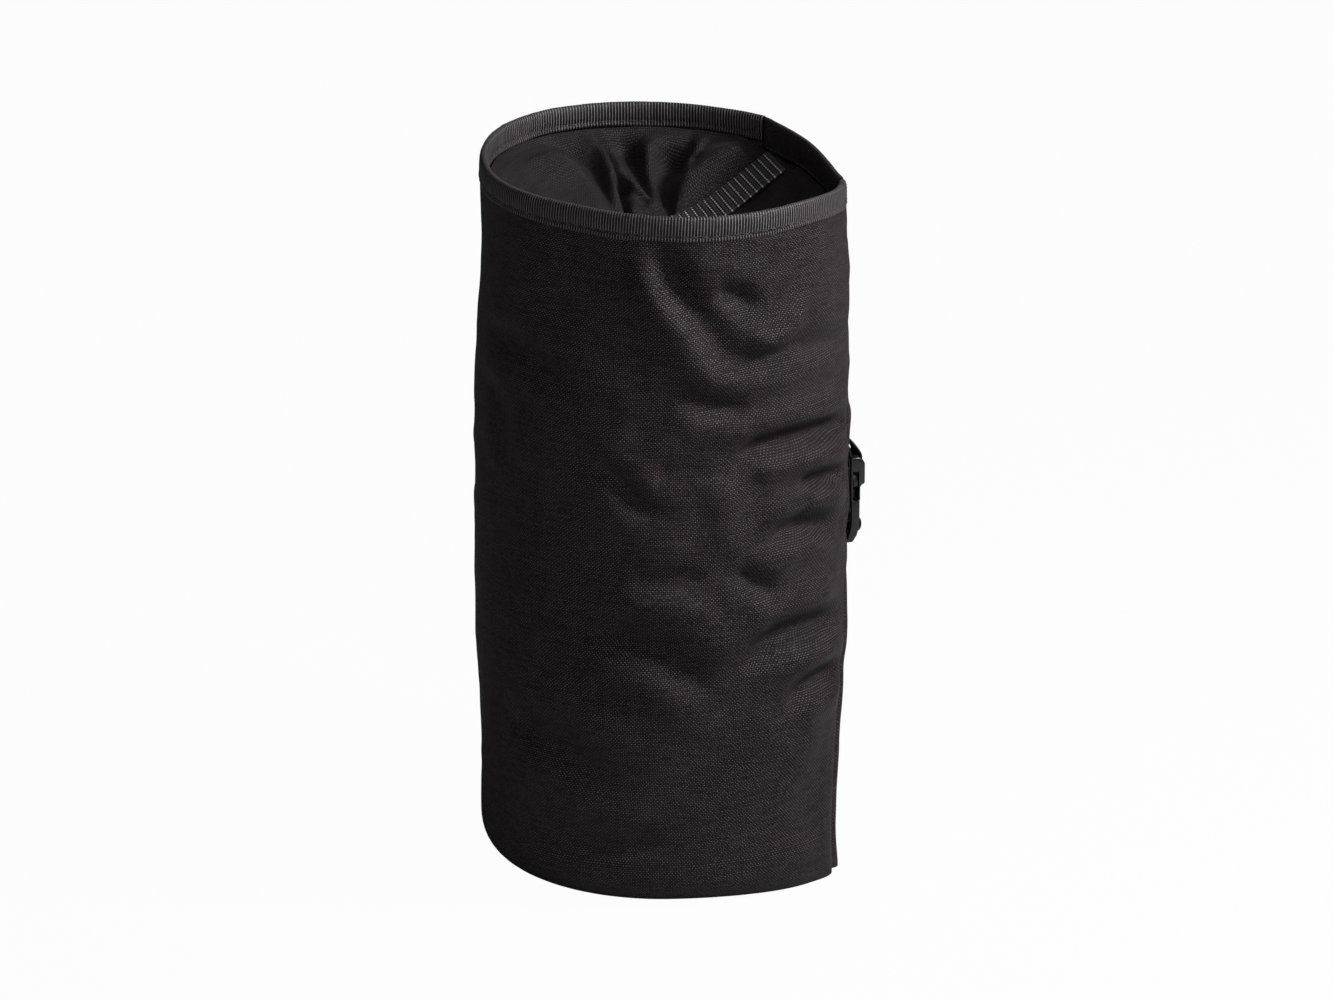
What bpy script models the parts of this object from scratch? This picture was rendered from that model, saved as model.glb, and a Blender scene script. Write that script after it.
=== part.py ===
"""Rope storage bag: an upright soft bag with a flat base, a gathered inner collar and a buckled back strap.

Metres, +Z up. The origin is on the floor under the middle of the base; +Y is the back, where the strap is.
"""

import math

import bmesh
import bpy
import numpy as np
from mathutils import Matrix, Vector

# Driving dimensions
HEIGHT = 0.435              # floor to the top of the rim
CLOTH = 0.0015              # body cloth with its coating
GAP = 0.0003                # between two pieces that touch
BASE_ROUND = 0.030          # how far the body cloth rolls under at the front
ROLL_END = math.radians(75)  # where the roll meets the base panel
RIM_TWIST = math.radians(4)  # the mouth is turned a little against the base
ROLL_SPAN = 0.22            # share of the front over which the roll fades out beside each seam
ROLL_ROWS = 4
WALL_ROWS = 13
SEAM_SHORT = 0.0030         # the back panel stops this far from each side seam

# The plan of the bag at five heights: half width, depth to the front, the side seam's place (x, y) and
# the middle of the back panel (y)
PLAN_Z = (0.0, 0.070, 0.120, 0.220, 0.330, HEIGHT)
HALF_WIDTH = (0.1060, 0.1095, 0.1125, 0.1150, 0.1160, 0.1165)
FRONT_DEPTH = (0.1075, 0.1105, 0.1125, 0.1145, 0.1130, 0.1070)
SEAM_X = (0.0760, 0.0745, 0.0730, 0.0690, 0.0640, 0.0605)
SEAM_Y = (0.0830, 0.0865, 0.0885, 0.0905, 0.0915, 0.0900)
BACK_Y = (0.0910, 0.0985, 0.1030, 0.1085, 0.1040, 0.0950)

BINDING_DEPTH = 0.0145      # a 30 mm tape folded over the rim
BINDING_THICK = 0.0010
FACING_DEPTH = 0.0200
SEAM_TAPE_WIDE = 0.0100
SEAM_TAPE_THICK = 0.0010
SEAM_TAPE_TOP = 0.3920      # below the collar
SEAM_TAPE_FOOT = 0.0200
SEAM_TAPE_INSET = 0.0030
BASE_TAPE_INSET = 0.0012

COLLAR_THICK = 0.0010
COLLAR_TUCK = 0.0010        # clear of the binding and the facing
COLLAR_SAG = 0.0120
COLLAR_ROWS = 8
NECK_RADIUS = 0.0240        # middle of the drawcord's tunnel
NECK_Z = 0.3700
TUNNEL_OUTER = 0.0040
TUNNEL_INNER = 0.0031
CORD_RADIUS = 0.0015
CORD_EXIT = math.radians(-35)  # the side where the cord leaves its tunnel
EXIT_HALF = math.radians(30)
EYELET_BORE = 0.0020
EYELET_RADIUS = 0.0038
EYELET_HALF = 0.0007        # half its thickness
EYELET_STEPS = 16

LOCK_REACH = 0.0480         # from the axis of the bag to the middle of the cord lock
LOCK_Z = 0.3960
LOCK_RADIUS = 0.0068
LOCK_BORE = 0.0054
PLUNGER_RADIUS = 0.0051
PLUNGER_TRAVEL = 0.0030
LOCK_FLOOR = -0.0095        # the barrel's ends, along its own axis
LOCK_RIM = 0.0045
LOCK_WALL = 0.0016
LOCK_CHAMFER = 0.0012
WINDOW_HALF = 0.0018        # the cord window: half its height along the axis and across it
WINDOW_WIDE = 0.0036
WINDOW_REACH = 0.0200       # past both faces of the lock
SPRING_WIRE = 0.00025
SPRING_RADIUS = 0.0034
SPRING_COILS = 3
SPRING_STEPS = 12
SPRING_GAP = 0.0006
CORD_RUN = 0.0105           # straight cord on each side of the lock
CORD_APART = 0.0018         # each cord above or below the other's level
KNOT_RADIUS = 0.0042

WEBBING = 0.0200            # the back strap
ROPE_STRAP_WIDE = 0.0250
WEBBING_THICK = 0.0014
STRAP_AT = 0.0012           # from the back panel's outer face to the middle of a strap lying on it
STRAP_OVER = 0.0019         # from one layer of strap to the next
PATCH_HALF = 0.0180
PATCH_THICK = 0.0010
PATCH_AT = STRAP_AT + 0.0022

BUCKLE_Y = 0.1175           # middle of the prongs
SOCKET_MOUTH_Z = 0.2125
SOCKET_TOP_Z = 0.2402
SOCKET_WIDE = 0.0280
SHOULDER_Z = 0.2223         # where the socket gets thicker
PRONG_PIVOT_X = 0.0073
PRONG_THICK = 0.0030
PLUG_BOTTOM_Z = 0.1860
PLUG_WIDE = 0.0250
LADDER_CURL = 0.0035        # how far the ladder's end curves towards the bag

BOX_FACES = [(0, 1, 3, 2), (4, 6, 7, 5), (0, 4, 5, 1), (2, 3, 7, 6), (0, 2, 6, 4), (1, 5, 7, 3)]
FRONT_STEPS = 40
BACK_STEPS = 10
RING_STEPS = 28


def clear_scene():
    for old in list(bpy.data.objects):
        bpy.data.objects.remove(old, do_unlink=True)


def finish_material(name, colour, roughness, metallic=0.0):
    made = bpy.data.materials.new(name)
    made.use_nodes = True
    shader = made.node_tree.nodes["Principled BSDF"]
    shader.inputs["Base Color"].default_value = (*colour, 1.0)
    shader.inputs["Roughness"].default_value = roughness
    shader.inputs["Metallic"].default_value = metallic
    return made


def add_object(name, points, faces, material, origin=(0.0, 0.0, 0.0)):
    mesh = bpy.data.meshes.new(name)
    start = Vector(origin)
    mesh.from_pydata([Vector(p) - start for p in points], [], faces)
    tidy = bmesh.new()
    tidy.from_mesh(mesh)
    bmesh.ops.remove_doubles(tidy, verts=tidy.verts, dist=1e-6)
    bmesh.ops.recalc_face_normals(tidy, faces=tidy.faces)
    if tidy.calc_volume(signed=True) < 0:
        bmesh.ops.reverse_faces(tidy, faces=tidy.faces)
    tidy.to_mesh(mesh)
    tidy.free()
    mesh.materials.append(material)
    mesh.shade_smooth()
    mesh.set_sharp_from_angle(angle=math.radians(35))
    made = bpy.data.objects.new(name, mesh)
    made.location = start
    bpy.context.scene.collection.objects.link(made)
    return made


def shell(name, outer, inner, material):
    """A closed sheet of cloth between two grids of points, rows by columns."""
    rows, cols = len(outer), len(outer[0])
    points = [p for row in outer for p in row] + [p for row in inner for p in row]
    half = rows * cols
    faces = []
    for r in range(rows - 1):
        for c in range(cols - 1):
            a, b = r * cols + c, r * cols + c + 1
            d, e = a + cols, b + cols
            faces.append((a, b, e, d))
            faces.append((half + a, half + d, half + e, half + b))
    edge = [c for c in range(cols)]
    edge += [r * cols + cols - 1 for r in range(1, rows)]
    edge += [(rows - 1) * cols + c for c in range(cols - 2, -1, -1)]
    edge += [r * cols for r in range(rows - 2, 0, -1)]
    for a, b in zip(edge, edge[1:] + edge[:1]):
        faces.append((a, half + a, half + b, b))
    return add_object(name, points, faces, material)


def closed_ring(name, profiles, material, loop=True):
    """Sweeps one closed profile: profiles[i] is the profile's points at stop i."""
    size = len(profiles[0])
    points = [p for profile in profiles for p in profile]
    stops = len(profiles)
    faces = []
    for i in range(stops if loop else stops - 1):
        j = (i + 1) % stops
        for k in range(size):
            m = (k + 1) % size
            faces.append((i * size + k, i * size + m, j * size + m, j * size + k))
    if not loop:
        faces.append(tuple(range(size)))
        faces.append(tuple((stops - 1) * size + k for k in range(size)))
    return add_object(name, points, faces, material)


def plan(z):
    return [float(np.interp(z, PLAN_Z, row)) for row in (HALF_WIDTH, FRONT_DEPTH, SEAM_X, SEAM_Y, BACK_Y)]


def front_line(z):
    """The body panel's outer line, from the right side seam round the front to the left one."""
    half, front, seam_x, seam_y, _ = plan(z)
    rear = seam_y / math.sqrt(1 - (seam_x / half) ** 2)
    start = math.acos(seam_x / half)
    angles = np.linspace(start, -math.pi - start, FRONT_STEPS + 1)
    line = []
    for a in angles:
        deep = rear if math.sin(a) > 0 else front
        line.append(np.array((half * math.cos(a), deep * math.sin(a))))
    return line


def back_line(z, short=0.0):
    """The back panel's outer line, from the left side seam to the right one."""
    _, _, seam_x, seam_y, back_y = plan(z)
    xs = np.linspace(-1, 1, BACK_STEPS + 1) * (seam_x - short)
    return [np.array((x, seam_y + (back_y - seam_y) * (1 - (x / seam_x) ** 2))) for x in xs]


def inward(line):
    """Unit normals of an open line, pointing to the inside of the bag."""
    line = np.array(line)
    along = np.gradient(line, axis=0)
    normal = np.column_stack([along[:, 1], -along[:, 0]])
    normal /= np.linalg.norm(normal, axis=1)[:, None]
    return [n if np.dot(n, -p) > 0 else -n for n, p in zip(normal, line)]


def roll_share(count):
    """How much of the full roll each column has: none at the side seams, all of it round the front."""
    shares = []
    for i in range(count):
        away = min(i, count - 1 - i) / (count - 1)
        part = min(1.0, away / ROLL_SPAN)
        shares.append(part ** 2 * (3 - 2 * part))
    return shares


def twisted(x, y, z):
    turn = RIM_TWIST * max(0.0, z) / HEIGHT
    return (x * math.cos(turn) - y * math.sin(turn), x * math.sin(turn) + y * math.cos(turn), z)


def wall_rows(top):
    """(height on the plan, roll angle) of each row of the wall, from the base up."""
    rows = [(BASE_ROUND, ROLL_END * (1 - k / ROLL_ROWS)) for k in range(ROLL_ROWS)]
    heights = np.linspace(BASE_ROUND, top, WALL_ROWS)
    return rows + [(float(z), 0.0) for z in heights]


def wall(line_at, shares, top, depth):
    """A grid of wall points, this deep inside the outer face."""
    grid = []
    for z, roll in wall_rows(top):
        line = line_at(z)
        height = z - BASE_ROUND * math.sin(roll)
        row = []
        for point, normal, share in zip(line, inward(line), shares):
            inset = BASE_ROUND * share * (1 - math.cos(roll)) + depth * math.cos(roll * share)
            place = point + normal * inset
            row.append(twisted(*place, height + depth * math.sin(roll * share)))
        grid.append(row)
    return grid


def base_inset(shares):
    return [BASE_ROUND * s * (1 - math.cos(ROLL_END)) + CLOTH + GAP for s in shares]


def base_line(extra=0.0):
    """The base panel's outline, and the same drawn in by extra."""
    front, back = front_line(BASE_ROUND), back_line(BASE_ROUND)
    insets = base_inset(roll_share(len(front)))
    line = [p + n * (i + extra) for p, n, i in zip(front, inward(front), insets)]
    line += [p + n * (CLOTH + GAP + extra) for p, n in zip(back[1:-1], inward(back)[1:-1])]
    return line


def ribbon_x(name, path, wide, thick, material):
    """Flat webbing whose path lies in the YZ plane."""
    path = np.array(path)
    along = np.gradient(path, axis=0)
    along /= np.linalg.norm(along, axis=1)[:, None]
    side = np.column_stack([-along[:, 1], along[:, 0]]) * thick / 2
    profiles = []
    for (y, z), (sy, sz) in zip(path, side):
        profiles.append([
            (-wide / 2, y + sy, z + sz), (wide / 2, y + sy, z + sz),
            (wide / 2, y - sy, z - sz), (-wide / 2, y - sy, z - sz),
        ])
    return closed_ring(name, profiles, material, loop=False)


def smooth_path(points, step):
    """Points about this far apart on a smooth curve through the given ones."""
    points = [np.array(p, float) for p in points]
    padded = [2 * points[0] - points[1], *points, 2 * points[-1] - points[-2]]
    made = []
    for a, b, c, d in zip(padded, padded[1:], padded[2:], padded[3:]):
        parts = max(1, round(float(np.linalg.norm(c - b)) / step))
        for k in range(parts):
            t = k / parts
            made.append(0.5 * (2 * b + (c - a) * t + (2 * a - 5 * b + 4 * c - d) * t * t
                               + (3 * b - a - 3 * c + d) * t ** 3))
    return made + [points[-1]]


def cut(target, cutter):
    cutter.hide_render = True
    cutter.display_type = "WIRE"
    opening = target.modifiers.new("opening", "BOOLEAN")
    opening.operation = "DIFFERENCE"
    opening.object = cutter


def make_body(cloth):
    shares = roll_share(FRONT_STEPS + 1)
    top = HEIGHT - BINDING_THICK - 2 * GAP
    shell("body_panel", wall(front_line, shares, top, 0.0), wall(front_line, shares, top, CLOTH), cloth)

    def short_back(z):
        return back_line(z, short=SEAM_SHORT)

    flat = [0.0] * (BACK_STEPS + 1)
    top = HEIGHT - GAP
    shell("back_panel", wall(short_back, flat, top, 0.0), wall(short_back, flat, top, CLOTH), cloth)

    edge = [twisted(x, y, 0.0) for x, y in base_line()]
    lifted = [(x, y, CLOTH) for x, y, _ in edge]
    count = len(edge)
    sides = [(i, (i + 1) % count, count + (i + 1) % count, count + i) for i in range(count)]
    caps = [tuple(range(count)), tuple(range(count, 2 * count))]
    add_object("base_panel", edge + lifted, sides + caps, cloth)


def inside_points(line_at, z, depth):
    """The points of a line of the wall, this deep inside its outer face."""
    line = line_at(z)
    return [twisted(*(point + normal * depth), z) for point, normal in zip(line, inward(line))]


def make_rim(tape, cloth):
    near, far = CLOTH + GAP, CLOTH + GAP + BINDING_THICK
    foot = HEIGHT - BINDING_DEPTH
    profile = [
        (-GAP - BINDING_THICK, foot), (-GAP - BINDING_THICK, HEIGHT), (far, HEIGHT), (far, foot),
        (near, foot), (near, HEIGHT - BINDING_THICK), (-GAP, HEIGHT - BINDING_THICK), (-GAP, foot),
    ]
    lines = [inside_points(front_line, z, depth) for depth, z in profile]
    closed_ring("mouth_binding", list(zip(*lines)), tape, loop=False)

    def short_back(z):
        return back_line(z, short=2 * SEAM_SHORT)

    heights = [HEIGHT - FACING_DEPTH, HEIGHT - FACING_DEPTH / 2, HEIGHT - 2 * GAP]
    sheets = [
        [inside_points(short_back, z, depth) for z in heights]
        for depth in (CLOTH + GAP, 2 * CLOTH + GAP)
    ]
    shell("back_facing", sheets[0], sheets[1], cloth)


def make_seam_bindings(tape):
    for side, name in ((-1, "side_seam_binding_left"), (1, "side_seam_binding_right")):
        stops = []
        for z in np.linspace(SEAM_TAPE_FOOT, SEAM_TAPE_TOP, WALL_ROWS + 1):
            _, _, seam_x, seam_y, _ = plan(z)
            corner = np.array((side * seam_x, seam_y))
            inner = -corner / np.linalg.norm(corner)
            across = np.array((-inner[1], inner[0]))
            start = corner + inner * (CLOTH + SEAM_TAPE_INSET)
            stops.append([
                twisted(*(start + across * a + inner * b), z)
                for a, b in (
                    (-SEAM_TAPE_THICK, 0), (SEAM_TAPE_THICK, 0),
                    (SEAM_TAPE_THICK, SEAM_TAPE_WIDE), (-SEAM_TAPE_THICK, SEAM_TAPE_WIDE),
                )
            ])
        closed_ring(name, stops, tape, loop=False)

    low, high = CLOTH + GAP, CLOTH + GAP + SEAM_TAPE_WIDE
    outer, inner = base_line(BASE_TAPE_INSET), base_line(BASE_TAPE_INSET + SEAM_TAPE_THICK)
    stops = [
        [(*a, low), (*b, low), (*b, high), (*a, high)]
        for a, b in zip(outer, inner)
    ]
    closed_ring("base_seam_binding", stops, tape)


def collar_edge():
    """(x, y, z) of the collar's sewn edge: under the binding, and under the facing behind."""
    front, back = front_line(HEIGHT), back_line(HEIGHT)
    inset = CLOTH + 2 * GAP + BINDING_THICK
    under_binding = HEIGHT - BINDING_DEPTH - COLLAR_TUCK
    under_facing = HEIGHT - FACING_DEPTH - COLLAR_TUCK
    edge = [(*(p + n * inset), under_binding) for p, n in zip(front, inward(front))]
    edge += [(*(p + n * inset), under_facing) for p, n in zip(back[1:-1], inward(back)[1:-1])]
    edge[0] = (*edge[0][:2], under_facing)
    edge[FRONT_STEPS] = (*edge[FRONT_STEPS][:2], under_facing)
    return [np.array(twisted(*p)) for p in edge]


def collar_point(start, share, lift=0.0):
    """A point on the funnel between a point of the sewn edge and the neck."""
    angle = math.atan2(start[1], start[0])
    radius = NECK_RADIUS + TUNNEL_OUTER + COLLAR_TUCK
    end = np.array((radius * math.cos(angle), radius * math.sin(angle), NECK_Z))
    place = start + (end - start) * share
    sag = COLLAR_SAG * math.sin(math.pi * share)
    return place + np.array((0.0, 0.0, lift - sag))


def make_collar(thin_cloth):
    edge = collar_edge()
    profiles = []
    shares = np.linspace(0, 1, COLLAR_ROWS)
    for start in edge:
        upper = [collar_point(start, s) for s in shares]
        lower = [collar_point(start, s, -COLLAR_THICK) for s in shares[::-1]]
        profiles.append([tuple(p) for p in upper + lower])
    closed_ring("collar", profiles, thin_cloth)


def make_tunnel(thin_cloth, metal):
    """The casing at the collar's hem, open on its outer side where it is sewn, and its eyelets."""
    start, end = CORD_EXIT + EXIT_HALF, CORD_EXIT + 2 * math.pi - EXIT_HALF
    bend = [math.radians(a) for a in np.linspace(30, 330, 9)]
    stops = []
    for angle in np.linspace(start, end, RING_STEPS):
        profile = []
        for radius, turns in ((TUNNEL_OUTER, bend), (TUNNEL_INNER, bend[::-1])):
            for a in turns:
                reach = NECK_RADIUS + radius * math.cos(a)
                height = NECK_Z + radius * math.sin(a)
                profile.append((reach * math.cos(angle), reach * math.sin(angle), height))
        stops.append(profile)
    closed_ring("collar_casing", stops, thin_cloth, loop=False)

    for sign, name in ((1, "cord_eyelet_left"), (-1, "cord_eyelet_right")):
        angle = CORD_EXIT + sign * (EXIT_HALF - math.radians(4))
        middle = Vector((NECK_RADIUS * math.cos(angle), NECK_RADIUS * math.sin(angle), NECK_Z))
        across = Matrix.Rotation(angle, 4, "Z") @ Matrix.Rotation(math.pi / 2, 4, "X")
        profiles = []
        for k in range(EYELET_STEPS):
            turn = 2 * math.pi * k / EYELET_STEPS
            profile = []
            for radius, along in (
                (EYELET_BORE, -EYELET_HALF), (EYELET_RADIUS, -EYELET_HALF),
                (EYELET_RADIUS, EYELET_HALF), (EYELET_BORE, EYELET_HALF),
            ):
                spot = across @ Vector((radius * math.cos(turn), radius * math.sin(turn), along))
                profile.append(tuple(middle + spot))
            profiles.append(profile)
        closed_ring(name, profiles, metal)


def lock_frame():
    """From the lock's own frame, where the cords run along x and the plunger along z, to the bag's."""
    reach = LOCK_REACH
    place = Matrix.Translation((reach * math.cos(CORD_EXIT), reach * math.sin(CORD_EXIT), LOCK_Z))
    return place @ Matrix.Rotation(CORD_EXIT, 4, "Z") @ Matrix.Rotation(math.radians(90), 4, "X")


def turned(name, profile, material, frame, steps=24, origin=(0.0, 0.0, 0.0)):
    """A body of revolution about the frame's z from (radius, z) points."""
    stops = []
    for k in range(steps):
        a = 2 * math.pi * k / steps
        stops.append([tuple(frame @ Vector((r * math.cos(a), r * math.sin(a), z))) for r, z in profile])
    points = [p for stop in stops for p in stop]
    size = len(profile)
    faces = []
    for i in range(steps):
        j = (i + 1) % steps
        for k in range(size - 1):
            faces.append((i * size + k, i * size + k + 1, j * size + k + 1, j * size + k))
    return add_object(name, points, faces, material, origin)


def cutter_box(name, low, high, frame):
    xs, ys, zs = zip(low, high)
    points = [(x, y, z) for x in xs for y in ys for z in zs]
    placed = [tuple(frame @ Vector(p)) for p in points]
    return add_object(name, placed, BOX_FACES, bpy.data.materials["plastic"])


def make_cord_lock(plastic, metal):
    frame = lock_frame()
    floor, rim = LOCK_FLOOR, LOCK_RIM
    outer = [
        (0.0, floor), (LOCK_RADIUS - LOCK_CHAMFER, floor), (LOCK_RADIUS, floor + LOCK_CHAMFER),
        (LOCK_RADIUS, rim - 0.0010), (LOCK_RADIUS - 0.0005, rim), (LOCK_BORE, rim),
        (LOCK_BORE, floor + LOCK_WALL), (0.0, floor + LOCK_WALL),
    ]
    barrel = turned("cord_lock_barrel", outer, plastic, frame)
    low, high = (-WINDOW_REACH, -WINDOW_WIDE, -WINDOW_HALF), (WINDOW_REACH, WINDOW_WIDE, WINDOW_HALF)
    cut(barrel, cutter_box("barrel_window", low, high, frame))

    foot, head = -WINDOW_HALF - 0.0020, rim + PLUNGER_TRAVEL + 0.0008
    inner = [
        (0.0, foot), (PLUNGER_RADIUS, foot), (PLUNGER_RADIUS, head - 0.0008),
        (PLUNGER_RADIUS - 0.0008, head), (0.0, head),
    ]
    plunger = turned("cord_lock_plunger", inner, plastic, frame, origin=tuple(frame.translation))
    pressed = (WINDOW_REACH, WINDOW_WIDE, WINDOW_HALF + PLUNGER_TRAVEL)
    cut(plunger, cutter_box("plunger_window", low, pressed, frame))

    low_end, high_end = floor + LOCK_WALL + SPRING_GAP, foot - SPRING_GAP
    curve = bpy.data.curves.new("cord_lock_spring", "CURVE")
    curve.dimensions = "3D"
    curve.bevel_depth = SPRING_WIRE
    curve.bevel_resolution = 1
    curve.use_fill_caps = True
    count = SPRING_COILS * SPRING_STEPS
    line = curve.splines.new("POLY")
    line.points.add(count)
    for k in range(count + 1):
        a = 2 * math.pi * k / SPRING_STEPS
        height = low_end + (high_end - low_end) * k / count
        spot = frame @ Vector((SPRING_RADIUS * math.cos(a), SPRING_RADIUS * math.sin(a), height))
        line.points[k].co = (*spot, 1.0)
    curve.materials.append(metal)
    bpy.context.scene.collection.objects.link(bpy.data.objects.new("cord_lock_spring", curve))


def make_drawcord(cord):
    """Round the tunnel, out of both eyelets, side by side through the lock, to one knot behind it."""
    out = np.array((math.cos(CORD_EXIT), math.sin(CORD_EXIT), 0.0))
    up = np.array((0.0, 0.0, 1.0))

    def end_run(sign):
        lift = LOCK_Z + sign * CORD_APART
        angle = CORD_EXIT + sign * EXIT_HALF * 0.5
        gap_spot = np.array((math.cos(angle), math.sin(angle), 0.0)) * (NECK_RADIUS + 0.0012)
        return [
            out * (LOCK_REACH + CORD_RUN) + up * lift,
            out * LOCK_REACH + up * lift,
            out * (LOCK_REACH - CORD_RUN) + up * (lift - 0.0020),
            out * (NECK_RADIUS + 0.0075) + up * (NECK_Z + 0.0110 + sign * 0.0028)
            + np.array((-math.sin(CORD_EXIT), math.cos(CORD_EXIT), 0.0)) * sign * 0.0012,
            gap_spot + up * (NECK_Z + 0.0018),
        ]

    ring = []
    start, end = CORD_EXIT + EXIT_HALF * 0.87, CORD_EXIT + 2 * math.pi - EXIT_HALF * 0.87
    for angle in np.linspace(start, end, RING_STEPS - 2):
        ring.append(np.array((NECK_RADIUS * math.cos(angle), NECK_RADIUS * math.sin(angle), NECK_Z)))
    route = end_run(1) + ring + end_run(-1)[::-1]
    points = smooth_path(route, 0.0045)
    curve = bpy.data.curves.new("drawcord", "CURVE")
    curve.dimensions = "3D"
    curve.bevel_depth = CORD_RADIUS
    curve.bevel_resolution = 2
    curve.use_fill_caps = True
    line = curve.splines.new("POLY")
    line.points.add(len(points) - 1)
    for spot, place in zip(line.points, points):
        spot.co = (*place, 1.0)
    curve.materials.append(cord)
    bpy.context.scene.collection.objects.link(bpy.data.objects.new("drawcord", curve))

    knot_middle = out * (LOCK_REACH + CORD_RUN + GAP + KNOT_RADIUS) + up * LOCK_Z
    ball = bmesh.new()
    bmesh.ops.create_icosphere(ball, subdivisions=2, radius=KNOT_RADIUS)
    for v in ball.verts:
        v.co.z *= 1.15
    mesh = bpy.data.meshes.new("drawcord_knot")
    ball.to_mesh(mesh)
    ball.free()
    mesh.materials.append(cord)
    mesh.shade_smooth()
    knot = bpy.data.objects.new("drawcord_knot", mesh)
    knot.location = knot_middle
    bpy.context.scene.collection.objects.link(knot)


def make_rope_end_strap(webbing):
    """Ribbed webbing, sewn in under the facing, whose free end lies in the funnel beside the neck."""
    path = smooth_path([
        (-0.0420, 0.0856, 0.4142), (-0.0420, 0.0780, 0.4092), (-0.0424, 0.0620, 0.3978),
        (-0.0430, 0.0460, 0.3872), (-0.0436, 0.0310, 0.3802), (-0.0442, 0.0160, 0.3778),
        (-0.0446, 0.0010, 0.3778),
    ], 0.008)
    across = np.array((0.973, 0.120, -0.150))
    profiles = []
    for i, place in enumerate(path):
        along = path[min(i + 1, len(path) - 1)] - path[max(i - 1, 0)]
        along /= np.linalg.norm(along)
        side = across - along * np.dot(across, along)
        side /= np.linalg.norm(side)
        face = np.cross(side, along) * WEBBING_THICK / 2
        half = side * ROPE_STRAP_WIDE / 2
        profiles.append([tuple(place + v) for v in (half + face, half - face, -half - face, -half + face)])
    closed_ring("rope_end_strap", profiles, webbing, loop=False)


def panel_y(z):
    return plan(z)[4]


def make_back_straps(webbing, cloth):
    upper = [(panel_y(z) + STRAP_AT, z) for z in np.linspace(0.334, 0.254, 9)]
    upper += [
        (0.1150, 0.2430), (0.1151, 0.2368), (0.1163, 0.2350), (0.1207, 0.2350), (0.1221, 0.2366),
        (0.1221, 0.2405), (0.1175, 0.2475), (panel_y(0.2555) + STRAP_AT + 0.0022, 0.2555),
    ]
    upper += [(panel_y(z) + STRAP_AT + STRAP_OVER, z) for z in (0.262, 0.270, 0.280)]
    ribbon_x("upper_strap", upper, WEBBING, WEBBING_THICK, webbing)

    lower = [(panel_y(z) + STRAP_AT, z) for z in np.linspace(0.112, 0.176, 7)]
    lower += [
        (0.1083, 0.1830), (0.1090, 0.1880), (0.1102, 0.1925), (0.1122, 0.1975), (0.1142, 0.1999),
        (0.1165, 0.2004), (0.1203, 0.2003), (0.1218, 0.1988), (0.1222, 0.1958), (0.1212, 0.1928),
        (0.1185, 0.1918), (0.1150, 0.1916), (0.1131, 0.1912), (0.1119, 0.1898), (0.1112, 0.1878),
        (0.1104, 0.1852), (0.1101, 0.1815), (0.1100, 0.1720), (0.1095, 0.1600), (0.1090, 0.1480),
    ]
    ribbon_x("lower_strap", lower, WEBBING, WEBBING_THICK, webbing)

    for name, low, high in (("upper_strap_patch", 0.302, 0.340), ("lower_strap_patch", 0.106, 0.140)):
        stops = []
        for z in np.linspace(low, high, 5):
            _, _, seam_x, seam_y, back_y = plan(z)
            under = [
                (x, seam_y + (back_y - seam_y) * (1 - (x / seam_x) ** 2) + PATCH_AT, z)
                for x in np.linspace(-PATCH_HALF, PATCH_HALF, 7)
            ]
            over = [(x, y + PATCH_THICK, z) for x, y, z in under[::-1]]
            stops.append(under + over)
        closed_ring(name, stops, cloth, loop=False)


def make_socket(plastic):
    half = SOCKET_WIDE / 2
    back = BUCKLE_Y - 0.0034
    profile = [
        (back, SOCKET_MOUTH_Z), (BUCKLE_Y + 0.0029, SOCKET_MOUTH_Z),
        (BUCKLE_Y + 0.0029, SHOULDER_Z - 0.0014), (BUCKLE_Y + 0.0036, SHOULDER_Z),
        (BUCKLE_Y + 0.0058, SHOULDER_Z + 0.0012),
        (BUCKLE_Y + 0.0058, SOCKET_TOP_Z - 0.0042), (BUCKLE_Y + 0.0042, SOCKET_TOP_Z - 0.0012),
        (BUCKLE_Y + 0.0020, SOCKET_TOP_Z), (back + 0.0012, SOCKET_TOP_Z), (back, SOCKET_TOP_Z - 0.0012),
    ]
    stops = [[(x, y, z) for y, z in profile] for x in (-half, half)]
    socket = closed_ring("buckle_socket", stops, plastic, loop=False)
    rounded = socket.modifiers.new("rounded edges", "BEVEL")
    rounded.width = 0.0007
    rounded.segments = 2
    rounded.limit_method = "ANGLE"
    rounded.angle_limit = math.radians(60)
    place = Matrix.Identity(4)
    cut(socket, cutter_box(
        "prong_space", (-0.02, BUCKLE_Y - 0.0019, SOCKET_MOUTH_Z - 0.01),
        (0.02, BUCKLE_Y + 0.0019, 0.2312), place
    ))
    cut(socket, cutter_box(
        "webbing_slot", (-0.0106, back - 0.01, 0.2336), (0.0106, BUCKLE_Y + 0.02, 0.2370), place
    ))
    for name, low_y, high_y in (("bar_back", back - 0.01, BUCKLE_Y - 0.0014), ("bar_front", 0.1206, 0.14)):
        cut(socket, cutter_box(name, (-0.0106, low_y, 0.2360), (0.0106, high_y, 0.25), place))


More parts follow.
